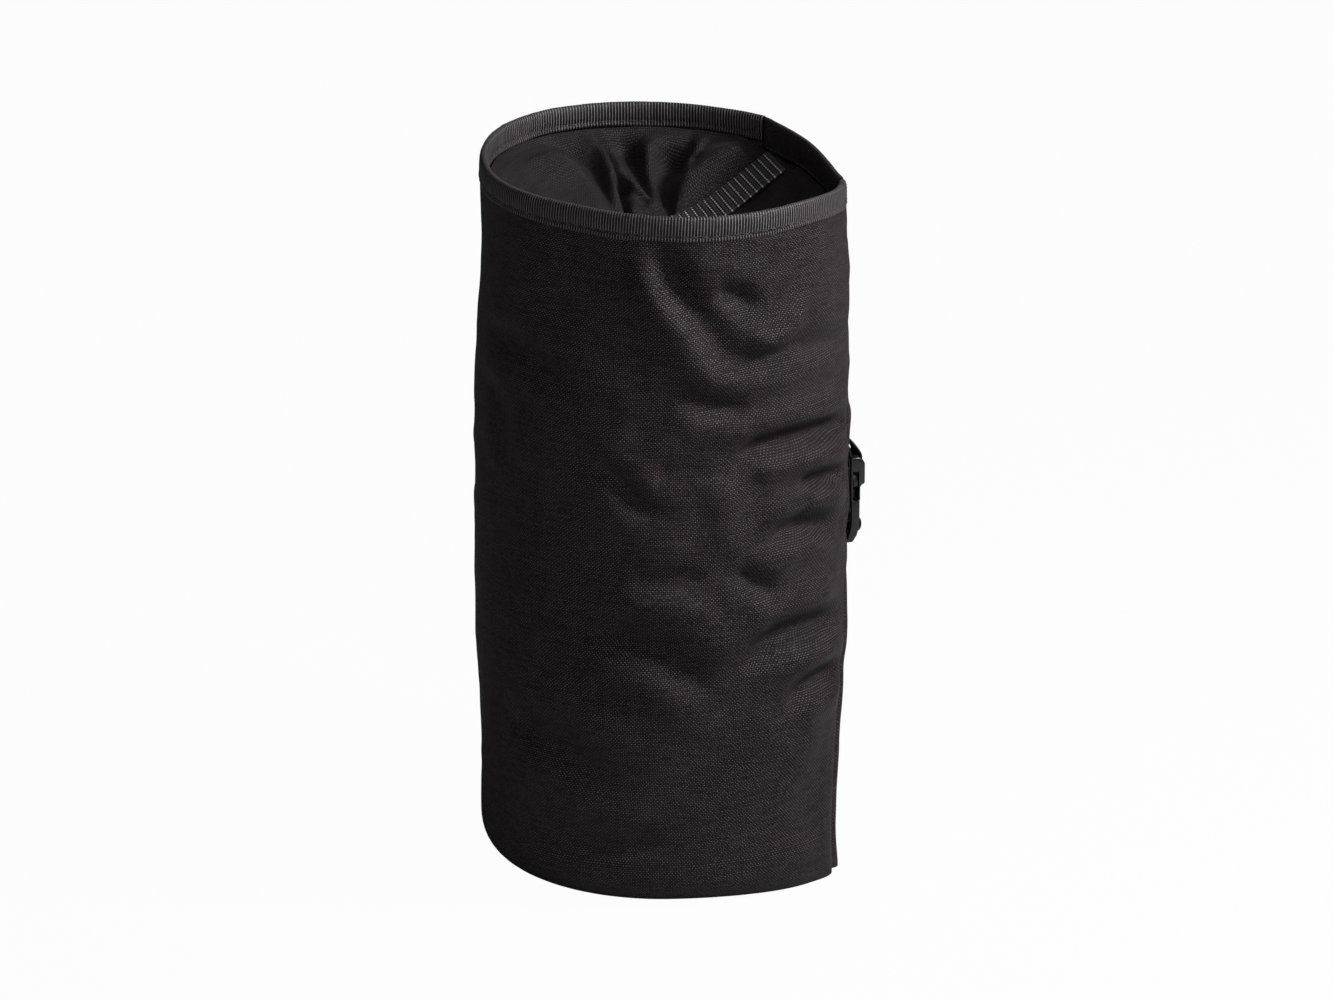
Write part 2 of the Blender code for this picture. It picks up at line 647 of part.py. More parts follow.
def make_plug(plastic):
    half = PLUG_WIDE / 2
    low_y, high_y = BUCKLE_Y - 0.0022, BUCKLE_Y + 0.0030
    plug_top = SOCKET_MOUTH_Z - GAP
    zs = [PLUG_BOTTOM_Z, 0.1880, 0.1900, 0.1935, 0.1960, 0.1985, 0.2020, 0.2060, plug_top]
    slots = ((0.1900, 0.1935), (0.1985, 0.2020))
    slot_half = 0.0105

    def curl(z):
        return -LADDER_CURL * max(0.0, (0.2000 - z) / 0.0140) ** 2

    def thin(z):
        return 0.0010 * max(0.0, (0.1900 - z) / 0.0040)

    xs = [-half, -slot_half, slot_half, half]
    points, index = [], {}
    for i, x in enumerate(xs):
        for k, z in enumerate(zs):
            for side, y in enumerate((low_y, high_y)):
                index[i, k, side] = len(points)
                trim = thin(z) if side else 0.0
                points.append((x, y + curl(z) - trim, z))
    solid = {}
    for i in range(3):
        for k in range(len(zs) - 1):
            inside = any(zs[k] >= a - 1e-6 and zs[k + 1] <= b + 1e-6 for a, b in slots)
            solid[i, k] = not (i == 1 and inside)
    faces = []
    for (i, k), filled in solid.items():
        if not filled:
            continue
        a, b, c, d = (i, k), (i + 1, k), (i + 1, k + 1), (i, k + 1)
        for side in (0, 1):
            loop = tuple(index[(*p, side)] for p in (a, b, c, d))
            faces.append(loop if side else loop[::-1])
        for p, q, step in ((a, b, (0, -1)), (b, c, (1, 0)), (c, d, (0, 1)), (d, a, (-1, 0))):
            if not solid.get((i + step[0], k + step[1]), False):
                faces.append((index[(*p, 0)], index[(*q, 0)], index[(*q, 1)], index[(*p, 1)]))
    plug = add_object("buckle_plug", points, faces, plastic)

    tongue = cutter_box(
        "guide_tongue", (-0.0015, BUCKLE_Y - PRONG_THICK / 2, plug_top - 0.002),
        (0.0015, BUCKLE_Y + PRONG_THICK / 2, 0.2290), Matrix.Identity(4)
    )
    tongue.hide_render = True
    tongue.display_type = "WIRE"
    joined = plug.modifiers.new("guide tongue", "BOOLEAN")
    joined.operation = "UNION"
    joined.object = tongue


def make_prongs(plastic):
    low = SOCKET_MOUTH_Z + GAP
    outline = [
        (0.0056, low), (0.0092, low), (0.0092, 0.2190), (0.0110, 0.2204), (0.0131, 0.2216),
        (0.0134, 0.2240), (0.0126, 0.2272), (0.0104, 0.2300), (0.0080, 0.2304), (0.0064, 0.2290),
        (0.0060, 0.2240),
    ]
    for side, name in ((-1, "prong_left"), (1, "prong_right")):
        stops = [
            [(side * x, y, z) for x, z in outline]
            for y in (BUCKLE_Y - PRONG_THICK / 2, BUCKLE_Y + PRONG_THICK / 2)
        ]
        prong = closed_ring(name, stops, plastic, loop=False)
        pivot = Vector((side * PRONG_PIVOT_X, BUCKLE_Y, low))
        prong.data.transform(Matrix.Translation(-pivot))
        prong.location = pivot


def main():
    clear_scene()
    cloth = finish_material("body cloth", (0.013, 0.012, 0.012), 0.85)
    thin_cloth = finish_material("collar cloth", (0.012, 0.011, 0.012), 0.60)
    tape = finish_material("binding tape", (0.035, 0.036, 0.040), 0.80)
    webbing = finish_material("webbing", (0.020, 0.020, 0.021), 0.75)
    plastic = finish_material("plastic", (0.020, 0.020, 0.021), 0.35)
    metal = finish_material("steel", (0.30, 0.30, 0.31), 0.35, 1.0)
    cord = finish_material("cord", (0.020, 0.020, 0.021), 0.80)

    make_body(cloth)
    make_rim(tape, cloth)
    make_seam_bindings(tape)
    make_collar(thin_cloth)
    make_tunnel(thin_cloth, metal)
    make_cord_lock(plastic, metal)
    make_drawcord(cord)
    make_rope_end_strap(webbing)
    make_back_straps(webbing, cloth)
    make_socket(plastic)
    make_plug(plastic)
    make_prongs(plastic)


main()
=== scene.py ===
import math

import bmesh
import bpy
import numpy as np
from mathutils import Matrix, Vector


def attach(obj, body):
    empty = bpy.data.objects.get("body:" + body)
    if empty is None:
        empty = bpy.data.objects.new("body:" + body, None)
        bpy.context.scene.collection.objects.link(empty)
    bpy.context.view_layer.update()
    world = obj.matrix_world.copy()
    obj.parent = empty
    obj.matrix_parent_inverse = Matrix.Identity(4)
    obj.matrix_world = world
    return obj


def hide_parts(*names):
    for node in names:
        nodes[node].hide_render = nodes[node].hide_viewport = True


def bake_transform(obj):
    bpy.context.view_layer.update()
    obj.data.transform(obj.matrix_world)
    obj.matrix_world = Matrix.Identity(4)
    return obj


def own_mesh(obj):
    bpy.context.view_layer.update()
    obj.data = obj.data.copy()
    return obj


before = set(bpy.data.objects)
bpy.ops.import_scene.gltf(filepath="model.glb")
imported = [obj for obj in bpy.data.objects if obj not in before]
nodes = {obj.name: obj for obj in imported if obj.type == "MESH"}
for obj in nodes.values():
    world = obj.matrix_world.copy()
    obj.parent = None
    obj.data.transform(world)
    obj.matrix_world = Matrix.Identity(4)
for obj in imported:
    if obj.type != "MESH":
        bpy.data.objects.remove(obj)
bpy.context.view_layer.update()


def smoothstep(t):
    t = np.clip(t, 0.0, 1.0)
    return t * t * (3 - 2 * t)


def bell(t):
    return np.exp(-t * t)


def unit(v):
    v = np.asarray(v, float)
    return v / np.maximum(np.linalg.norm(v, axis=-1, keepdims=True), 1e-12)


def curveThrough(points, step):
    # a smooth curve through the given points, with a point about every step
    points = [np.array(p, float) for p in points]
    padded = [2 * points[0] - points[1], *points, 2 * points[-1] - points[-2]]
    made = []
    for a, b, c, d in zip(padded, padded[1:], padded[2:], padded[3:]):
        parts = max(1, round(float(np.linalg.norm(c - b)) / step))
        for k in range(parts):
            t = k / parts
            made.append(0.5 * (2 * b + (c - a) * t + (2 * a - 5 * b + 4 * c - d) * t * t
                               + (3 * b - a - 3 * c + d) * t ** 3))
    return np.array(made + [points[-1]])


def alongOf(points):
    # how far along the line each of its points lies
    return np.concatenate([[0], np.cumsum(np.linalg.norm(np.diff(points, axis=0), axis=1))])


def evenly(points, step):
    # the same line with its points at equal distances
    far = alongOf(points)
    count = max(2, round(far[-1] / step) + 1)
    stops = np.linspace(0, far[-1], count)
    return np.stack([np.interp(stops, far, points[:, k]) for k in range(points.shape[1])], 1)


def softNoise(u, v, size, seed):
    # smooth uneven values between -1 and 1, with lumps about this size
    table = np.random.default_rng(seed).uniform(-1, 1, (64, 64))
    x, y = np.asarray(u) / size, np.asarray(v) / size
    i, j = np.floor(x).astype(int), np.floor(y).astype(int)
    s, t = smoothstep(x - i), smoothstep(y - j)
    i, j = i % 64, j % 64
    k, m = (i + 1) % 64, (j + 1) % 64
    near = table[i, j] * (1 - s) + table[k, j] * s
    far = table[i, m] * (1 - s) + table[k, m] * s
    return near * (1 - t) + far * t


def finishMesh(name, points, faces, uvs, material):
    mesh = bpy.data.meshes.new(name)
    mesh.from_pydata(np.asarray(points).reshape(-1, 3).tolist(), [], faces)
    layer = mesh.uv_layers.new(name="UVMap")
    layer.data.foreach_set("uv", np.asarray(uvs, np.float32).ravel())
    mesh.materials.append(material)
    mesh.shade_smooth()
    obj = bpy.data.objects.new(name, mesh)
    bpy.context.scene.collection.objects.link(obj)
    return obj


def gridMesh(name, grid, uAcross, vAlong, material, wrapRows=False, wrapCols=False, caps=False):
    # a sheet or a tube from rows of points, with its UVs in metres
    rows, cols = grid.shape[:2]
    i, j = np.meshgrid(np.arange(rows if wrapRows else rows - 1), np.arange(cols if wrapCols else cols - 1),
                       indexing="ij")
    i, j = i.ravel(), j.ravel()
    k, m = (i + 1) % rows, (j + 1) % cols
    faces = np.stack([i * cols + j, i * cols + m, k * cols + m, k * cols + j], 1)
    uAcross, vAlong = np.asarray(uAcross), np.asarray(vAlong)
    corners = ((i, j), (i, j + 1), (i + 1, j + 1), (i + 1, j))
    uvs = np.stack([np.stack([uAcross[b], vAlong[a]], -1) for a, b in corners], 1)
    faces, uvs = faces.tolist(), uvs.reshape(-1, 2).tolist()
    if caps:
        faces += [list(range(cols))[::-1], [(rows - 1) * cols + c for c in range(cols)]]
        uvs += [[0.0, 0.0]] * (2 * cols)
    return finishMesh(name, grid, faces, uvs, material)


def applied(obj):
    # the modifiers' result becomes the mesh itself
    graph = bpy.context.evaluated_depsgraph_get()
    mesh = bpy.data.meshes.new_from_object(obj.evaluated_get(graph), preserve_all_data_layers=True,
                                           depsgraph=graph)
    obj.modifiers.clear()
    obj.data = mesh
    return obj


def thicken(obj, thickness, offset=-1.0):
    solid = obj.modifiers.new("thickness", "SOLIDIFY")
    solid.thickness = thickness
    solid.offset = offset
    solid.use_even_offset = False
    return applied(obj)


def sweep(name, path, side, sections, material):
    # sections is one closed outline of (across, up) for each point of the path
    path = np.asarray(path, float)
    ahead = unit(np.gradient(path, axis=0))
    side = np.broadcast_to(np.asarray(side, float), path.shape)
    side = unit(side - ahead * np.sum(side * ahead, 1, keepdims=True))
    up = np.cross(side, ahead)
    sections = np.broadcast_to(sections, (len(path),) + np.shape(sections)[-2:])
    grid = path[:, None] + side[:, None] * sections[..., :1] + up[:, None] * sections[..., 1:]
    ring = np.vstack([sections[0], sections[0][:1]])
    return gridMesh(name, grid, alongOf(ring), alongOf(path), material, wrapCols=True, caps=True)


def roundSection(radius, count):
    a = np.linspace(0, 2 * math.pi, count, endpoint=False)
    return np.stack([radius * np.cos(a), radius * np.sin(a)], 1)


def addNode(tree, kind, **settings):
    node = tree.nodes.new(kind)
    for key, value in settings.items():
        setattr(node, key, value)
    return node


def feed(tree, socket, value):
    if isinstance(value, bpy.types.NodeSocket):
        tree.links.new(value, socket)
    elif value is not None:
        socket.default_value = value


def calc(tree, operation, a, b=None, c=None):
    node = addNode(tree, "ShaderNodeMath", operation=operation)
    for socket, value in zip(node.inputs, (a, b, c)):
        feed(tree, socket, value)
    return node.outputs[0]


def blendColour(tree, factor, a, b):
    node = addNode(tree, "ShaderNodeMix", data_type="RGBA")
    feed(tree, node.inputs[0], factor)
    feed(tree, node.inputs[6], a)
    feed(tree, node.inputs[7], b)
    return node.outputs[2]


def ramp(tree, value, low, high, toLow=0.0, toHigh=1.0):
    node = addNode(tree, "ShaderNodeMapRange", interpolation_type="SMOOTHSTEP")
    for socket, given in zip(node.inputs, (value, low, high, toLow, toHigh)):
        feed(tree, socket, given)
    return node.outputs[0]


def noise(tree, place, scale, detail=2.0, roughness=0.5):
    node = addNode(tree, "ShaderNodeTexNoise")
    feed(tree, node.inputs["Vector"], place)
    node.inputs["Scale"].default_value = scale
    node.inputs["Detail"].default_value = detail
    node.inputs["Roughness"].default_value = roughness
    return node.outputs["Fac"]


def stretched(tree, place, scale):
    node = addNode(tree, "ShaderNodeVectorMath", operation="MULTIPLY")
    feed(tree, node.inputs[0], place)
    node.inputs[1].default_value = scale
    return node.outputs[0]


def newGroup(name, inputs, outputs):
    tree = bpy.data.node_groups.new(name, "ShaderNodeTree")
    for label, kind, value in inputs:
        socket = tree.interface.new_socket(label, in_out="INPUT", socket_type=kind)
        if value is not None:
            socket.default_value = value
    for label in outputs:
        tree.interface.new_socket(label, in_out="OUTPUT", socket_type="NodeSocketFloat")
    return tree, tree.nodes.new("NodeGroupInput"), tree.nodes.new("NodeGroupOutput")


def useGroup(tree, group, **values):
    node = addNode(tree, "ShaderNodeGroup", node_tree=group)
    for label, value in values.items():
        feed(tree, node.inputs[label], value)
    return node


def makeWeaveGroup():
    # plain weave: warp and weft threads pass over each other in turn
    tree, given, made = newGroup("plain weave", [
        ("Place", "NodeSocketVector", None), ("Pitch", "NodeSocketFloat", 0.001),
        ("Slubs", "NodeSocketFloat", 0.5)], ["Height", "Painted glint"])
    split = addNode(tree, "ShaderNodeSeparateXYZ")
    wander = noise(tree, given.outputs["Place"], 220.0, 2.0)
    tree.links.new(given.outputs["Place"], split.inputs[0])
    shift = calc(tree, "MULTIPLY_ADD", wander, 0.0008, -0.0004)
    u = calc(tree, "DIVIDE", calc(tree, "ADD", split.outputs[0], shift), given.outputs["Pitch"])
    v = calc(tree, "DIVIDE", calc(tree, "ADD", split.outputs[1], shift), given.outputs["Pitch"])

    def round2(x):
        return calc(tree, "POWER", calc(tree, "ABSOLUTE", calc(tree, "SINE", calc(tree, "MULTIPLY", x, math.pi))), 0.8)

    def overUnder(along, index):
        swing = calc(tree, "ADD", along, calc(tree, "FLOOR", index))
        return calc(tree, "MULTIPLY_ADD", calc(tree, "SINE", calc(tree, "MULTIPLY", swing, math.pi)), 0.5, 0.5)

    warp = calc(tree, "MULTIPLY", round2(u), overUnder(v, u))
    weft = calc(tree, "MULTIPLY", round2(v), overUnder(u, calc(tree, "ADD", v, 1.0)))
    height = calc(tree, "MAXIMUM", warp, weft)
    slubWarp = noise(tree, stretched(tree, given.outputs["Place"], (900.0, 55.0, 1.0)), 1.0, 1.0)
    slubWeft = noise(tree, stretched(tree, given.outputs["Place"], (55.0, 900.0, 1.0)), 1.0, 1.0)
    slubs = calc(tree, "MULTIPLY", calc(tree, "ADD", slubWarp, slubWeft), given.outputs["Slubs"])
    cell = addNode(tree, "ShaderNodeCombineXYZ")
    tree.links.new(calc(tree, "FLOOR", u), cell.inputs[0])
    tree.links.new(calc(tree, "FLOOR", v), cell.inputs[1])
    chance = addNode(tree, "ShaderNodeTexWhiteNoise", noise_dimensions="2D")
    tree.links.new(cell.outputs[0], chance.inputs["Vector"])
    rowCell = addNode(tree, "ShaderNodeCombineXYZ")
    tree.links.new(calc(tree, "FLOOR", v), rowCell.inputs[0])
    tree.links.new(calc(tree, "FLOOR", calc(tree, "MULTIPLY", u, 0.11)), rowCell.inputs[1])
    rowChance = addNode(tree, "ShaderNodeTexWhiteNoise", noise_dimensions="2D")
    tree.links.new(rowCell.outputs[0], rowChance.inputs["Vector"])
    mixed = calc(tree, "ADD", calc(tree, "MULTIPLY", chance.outputs["Value"], 0.55),
                 calc(tree, "MULTIPLY", rowChance.outputs["Value"], 0.45))
    own = calc(tree, "MULTIPLY_ADD", mixed, 1.15, 0.15)
    # the threads lying on top get a painted glint: their colour is made brighter, as if lit
    top = calc(tree, "MAXIMUM", ramp(tree, weft, 0.50, 0.95), calc(tree, "MULTIPLY", ramp(tree, warp, 0.6, 1.0), 0.30))
    raised = calc(tree, "MULTIPLY", calc(tree, "MULTIPLY", top, own), calc(tree, "ADD", slubs, 0.55))
    tree.links.new(calc(tree, "ADD", height, calc(tree, "MULTIPLY", slubs, 0.4)), made.inputs["Height"])
    tree.links.new(raised, made.inputs["Painted glint"])
    return tree


def makeFadeGroup():
    # soft patches of fading, and a little lint: specks and short fibres
    tree, given, made = newGroup("fading and lint", [("Place", "NodeSocketVector", None)],
                                 ["Fade", "Lint"])
    place = given.outputs["Place"]
    broad = noise(tree, place, 9.0, 4.0, 0.6)
    streaks = noise(tree, stretched(tree, place, (160.0, 160.0, 14.0)), 1.0, 2.0)
    fade = calc(tree, "ADD", calc(tree, "MULTIPLY", broad, 0.7), calc(tree, "MULTIPLY", streaks, 0.3))
    cells = addNode(tree, "ShaderNodeTexVoronoi", feature="F1")
    tree.links.new(place, cells.inputs["Vector"])
    cells.inputs["Scale"].default_value = 55.0
    speck = ramp(tree, cells.outputs["Distance"], 0.035, 0.02)
    split = addNode(tree, "ShaderNodeSeparateColor")
    tree.links.new(cells.outputs["Color"], split.inputs[0])
    few = calc(tree, "GREATER_THAN", split.outputs[0], 0.72)
    bent = addNode(tree, "ShaderNodeVectorMath", operation="ADD")
    tree.links.new(place, bent.inputs[0])
    tree.links.new(stretched(tree, noise(tree, place, 60.0, 1.0), (0.02, 0.01, 0.02)), bent.inputs[1])
    threads = addNode(tree, "ShaderNodeTexVoronoi", feature="DISTANCE_TO_EDGE")
    tree.links.new(bent.outputs[0], threads.inputs["Vector"])
    threads.inputs["Scale"].default_value = 30.0
    fibre = calc(tree, "MULTIPLY", ramp(tree, threads.outputs["Distance"], 0.008, 0.002),
                 ramp(tree, noise(tree, place, 48.0, 1.0), 0.66, 0.70))
    lint = calc(tree, "MAXIMUM", calc(tree, "MULTIPLY", speck, few), calc(tree, "MULTIPLY", fibre, 0.6))
    tree.links.new(ramp(tree, fade, 0.38, 0.62), made.inputs["Fade"])
    tree.links.new(lint, made.inputs["Lint"])
    return tree


def makeTwistGroup():
    # the plies of a thread or the strands of a cord, wound round it
    tree, given, made = newGroup("twisted plies", [
        ("Place", "NodeSocketVector", None), ("Plies", "NodeSocketFloat", 900.0),
        ("Slope", "NodeSocketFloat", 600.0)], ["Height"])
    split = addNode(tree, "ShaderNodeSeparateXYZ")
    tree.links.new(given.outputs["Place"], split.inputs[0])
    wound = calc(tree, "ADD", calc(tree, "MULTIPLY", split.outputs[0], given.outputs["Plies"]),
                 calc(tree, "MULTIPLY", split.outputs[1], given.outputs["Slope"]))
    tree.links.new(calc(tree, "ABSOLUTE", calc(tree, "SINE", wound)), made.inputs["Height"])
    return tree


weaveGroup = makeWeaveGroup()
fadeGroup = makeFadeGroup()
twistGroup = makeTwistGroup()


def startMaterial(name, roughness, sheen=0.0, specular=0.3):
    material = bpy.data.materials.new(name)
    material.use_nodes = True
    tree = material.node_tree
    shader = tree.nodes["Principled BSDF"]
    shader.inputs["Roughness"].default_value = roughness
    shader.inputs["Specular IOR Level"].default_value = specular
    if sheen:
        shader.inputs["Sheen Weight"].default_value = sheen
        shader.inputs["Sheen Roughness"].default_value = 0.45
        shader.inputs["Sheen Tint"].default_value = (0.9, 0.86, 0.9, 1.0)
    return material, tree, shader


def bumpInto(tree, shader, height, strength, distance):
    node = addNode(tree, "ShaderNodeBump")
    node.inputs["Strength"].default_value = strength
    node.inputs["Distance"].default_value = distance
    tree.links.new(height, node.inputs["Height"])
    tree.links.new(node.outputs[0], shader.inputs["Normal"])


def wovenMaterial(name, dark, litTone, pitch, bump, roughness, sheen, slubs=0.5, lint=0.5, specular=0.25):
    material, tree, shader = startMaterial(name, roughness, sheen, specular)
    uv = addNode(tree, "ShaderNodeUVMap", uv_map="UVMap").outputs[0]
    place = addNode(tree, "ShaderNodeTexCoord").outputs["Object"]
    weave = useGroup(tree, weaveGroup, Place=uv, Pitch=pitch, Slubs=slubs)
    fade = useGroup(tree, fadeGroup, Place=place)
    # the colour runs from the dark tone between the threads to the lit tone on the threads on top, a painted glint
    base = blendColour(tree, weave.outputs["Painted glint"], (*dark, 1.0), (*litTone, 1.0))
    faded = blendColour(tree, calc(tree, "MULTIPLY", fade.outputs["Fade"], 0.05), base, (*litTone, 1.0))
    dusty = blendColour(tree, calc(tree, "MULTIPLY", fade.outputs["Lint"], lint), faded, (0.10, 0.095, 0.09, 1.0))
    tree.links.new(dusty, shader.inputs["Base Color"])
    rough = calc(tree, "MULTIPLY_ADD", weave.outputs["Height"], -0.12, roughness + 0.08)
    tree.links.new(rough, shader.inputs["Roughness"])
    bumpInto(tree, shader, weave.outputs["Height"], bump, pitch * 0.28)
    return material


def ribbedMaterial(name, dark, litTone, dotted, pitch, bars, lint=0.2):
    # webbing whose ribs run across it: a painted highlight on the ribs and painted shade between them, with a row of
    # bright picks where dotted is above 0
    material, tree, shader = startMaterial(name, 0.5, 0.04, 0.3)
    uv = addNode(tree, "ShaderNodeUVMap", uv_map="UVMap").outputs[0]
    place = addNode(tree, "ShaderNodeTexCoord").outputs["Object"]
    fade = useGroup(tree, fadeGroup, Place=place)
    weave = useGroup(tree, weaveGroup, Place=uv, Pitch=0.0006, Slubs=0.5)
    split = addNode(tree, "ShaderNodeSeparateXYZ")
    tree.links.new(uv, split.inputs[0])
    phase = calc(tree, "FRACT", calc(tree, "DIVIDE", split.outputs[1], pitch))
    low, high = bars
    ribLit = calc(tree, "MULTIPLY", ramp(tree, phase, low - 0.09, low + 0.09), ramp(tree, phase, high + 0.09, high - 0.09))
    # the painted highlight on the ribs is patchy along the webbing
    patchy = calc(tree, "MULTIPLY_ADD", noise(tree, stretched(tree, uv, (120.0, 900.0, 1.0)), 1.0, 2.0), 1.1, 0.35)
    lit = calc(tree, "MULTIPLY", calc(tree, "MULTIPLY", ribLit, patchy),
               calc(tree, "MULTIPLY_ADD", weave.outputs["Painted glint"], 0.6, 0.6))
    if dotted:
        picks = calc(tree, "ABSOLUTE", calc(tree, "SINE", calc(tree, "MULTIPLY", split.outputs[0], math.pi / 0.0025)))
        row = calc(tree, "MULTIPLY", ramp(tree, phase, 0.66, 0.76), ramp(tree, phase, 0.94, 0.84))
        lit = calc(tree, "ADD", calc(tree, "MULTIPLY", lit, 0.13),
                   calc(tree, "MULTIPLY", calc(tree, "MULTIPLY", row, ramp(tree, picks, 0.3, 0.9)), dotted))
    base = blendColour(tree, lit, (*dark, 1.0), (*litTone, 1.0))
    dusty = blendColour(tree, calc(tree, "MULTIPLY", fade.outputs["Lint"], lint), base, (0.10, 0.095, 0.09, 1.0))
    tree.links.new(dusty, shader.inputs["Base Color"])
    tree.links.new(calc(tree, "MULTIPLY_ADD", weave.outputs["Height"], -0.12, 0.58), shader.inputs["Roughness"])
    bumpInto(tree, shader, weave.outputs["Height"], 0.7, 0.00012)
    return material


def plasticMaterial(name, colour, roughness, grain):
    material, tree, shader = startMaterial(name, roughness, 0.0, 0.5)
    place = addNode(tree, "ShaderNodeTexCoord").outputs["Object"]
    fade = useGroup(tree, fadeGroup, Place=place)
    fine = noise(tree, place, 2600.0, 2.0)
    scuffs = ramp(tree, noise(tree, stretched(tree, place, (900.0, 900.0, 260.0)), 1.0, 3.0), 0.55, 0.75)
    shade = blendColour(tree, calc(tree, "MULTIPLY", scuffs, 0.35), (*colour, 1.0),
                        (colour[0] * 2.2, colour[1] * 2.2, colour[2] * 2.2, 1.0))
    dusty = blendColour(tree, calc(tree, "MULTIPLY", fade.outputs["Lint"], 0.4), shade, (0.12, 0.115, 0.11, 1.0))
    tree.links.new(dusty, shader.inputs["Base Color"])
    tree.links.new(calc(tree, "MULTIPLY_ADD", scuffs, 0.18, roughness), shader.inputs["Roughness"])
    bumpInto(tree, shader, fine, grain, 0.0001)
    return material


def threadMaterial(name, dark, litTone, plies, slope, roughness, bump):
    material, tree, shader = startMaterial(name, roughness, 0.2, 0.3)
    uv = addNode(tree, "ShaderNodeUVMap", uv_map="UVMap").outputs[0]
    place = addNode(tree, "ShaderNodeTexCoord").outputs["Object"]
    twist = useGroup(tree, twistGroup, Place=uv, Plies=plies, Slope=slope)
    fade = useGroup(tree, fadeGroup, Place=place)
    # the colour is the dark tone, a painted shade, in the grooves between the plies and the lit tone, a painted
    # highlight, on their tops
    base = blendColour(tree, twist.outputs["Height"], (*dark, 1.0), (*litTone, 1.0))
    faded = blendColour(tree, calc(tree, "MULTIPLY", fade.outputs["Fade"], 0.3), base, (*litTone, 1.0))
    tree.links.new(faded, shader.inputs["Base Color"])
    bumpInto(tree, shader, twist.outputs["Height"], bump, 0.0002)
    return material


def steelMaterial(name):
    material, tree, shader = startMaterial(name, 0.35, 0.0, 0.5)
    place = addNode(tree, "ShaderNodeTexCoord").outputs["Object"]
    patchy = ramp(tree, noise(tree, place, 700.0, 3.0), 0.4, 0.7)
    tint = blendColour(tree, patchy, (0.055, 0.055, 0.060, 1.0), (0.16, 0.16, 0.17, 1.0))
    tree.links.new(tint, shader.inputs["Base Color"])
    tree.links.new(calc(tree, "MULTIPLY_ADD", patchy, 0.2, 0.28), shader.inputs["Roughness"])
    shader.inputs["Metallic"].default_value = 1.0
    bumpInto(tree, shader, patchy, 0.3, 0.00005)
    return material


clothFinish = wovenMaterial("body cloth, black", (0.0010, 0.0007, 0.0008), (0.128, 0.095, 0.104), 0.00112, 1.0,
                            0.60, 0.02, 0.5, 0.5, 0.16)
# the collar cloth is a separate thinner cloth; its tones, about half the body cloth's, hold painted shade for the
# inside of the bag
collarFinish = wovenMaterial("collar cloth, black", (0.0007, 0.0005, 0.0006), (0.064, 0.048, 0.053), 0.00116, 1.0,
                             0.58, 0.03, 0.4, 0.2, 0.2)
tapeFinish = ribbedMaterial("binding tape, charcoal", (0.0008, 0.0007, 0.0008), (0.300, 0.262, 0.280), 0.0, 0.0019,
                            (0.38, 0.62))
ribbedFinish = ribbedMaterial("ribbed webbing, black", (0.0014, 0.0013, 0.0013), (0.420, 0.395, 0.405), 1.9, 0.0046,
                              (0.12, 0.60))
strapFinish = wovenMaterial("strap webbing, black", (0.008, 0.008, 0.009), (0.035, 0.034, 0.036), 0.00095, 0.9,
                            0.60, 0.08, 0.5, 0.2)
stitchFinish = threadMaterial("sewing thread, black", (0.006, 0.006, 0.006), (0.030, 0.030, 0.032), 2200.0, 2600.0,
                              0.45, 0.8)
paleStitchFinish = threadMaterial("sewing thread, charcoal", (0.012, 0.012, 0.014), (0.075, 0.075, 0.080), 2200.0,
                                  2600.0, 0.45, 0.8)
cordFinish = threadMaterial("drawcord, black", (0.007, 0.007, 0.007), (0.035, 0.034, 0.034), 1700.0, 1500.0,
                            0.55, 1.0)
plasticFinish = plasticMaterial("moulded plastic, black", (0.012, 0.012, 0.013), 0.24, 0.25)
steelFinish = steelMaterial("darkened steel")
print("materials made")


# the bag's own shape, as the frame has it
bag = {
    "height": 0.435,
    "cloth": 0.0012,
    "baseRound": 0.030,
    "rollEnd": math.radians(75),
    "rimTwist": math.radians(4),
    "planZ": (0.0, 0.070, 0.120, 0.220, 0.330, 0.435),
    "halfWidth": (0.1060, 0.1095, 0.1125, 0.1150, 0.1160, 0.1165),
    "frontDepth": (0.1075, 0.1105, 0.1125, 0.1145, 0.1130, 0.1070),
    "seamX": (0.0760, 0.0745, 0.0730, 0.0690, 0.0640, 0.0605),
    "seamY": (0.0830, 0.0865, 0.0885, 0.0905, 0.0915, 0.0900),
    "backY": (0.0910, 0.0985, 0.1030, 0.1085, 0.1040, 0.0950),
    "rollSpan": 0.22,
    "cornerDrop": 0.005,       # the near corner of the mouth sits lower
    "cornerSpan": 0.075,
    "unrollRadius": 0.113,
    "foldGain": 1.5,
    "slant": 1.3,
}


def planAt(z):
    # the plan's sizes at these heights, on smooth curves through the given ones
    knots = np.array(bag["planZ"])
    z = np.clip(z, knots[0], knots[-1])
    found = []
    k = np.clip(np.searchsorted(knots, z, side="right") - 1, 0, len(knots) - 2)
    wide = knots[k + 1] - knots[k]
    t = (z - knots[k]) / wide
    for key in ("halfWidth", "frontDepth", "seamX", "seamY", "backY"):
        row = np.array(bag[key])
        slope = np.gradient(row, knots)
        found.append((2 * t ** 3 - 3 * t ** 2 + 1) * row[k] + (t ** 3 - 2 * t ** 2 + t) * wide * slope[k]
                     + (3 * t ** 2 - 2 * t ** 3) * row[k + 1] + (t ** 3 - t ** 2) * wide * slope[k + 1])
    return found


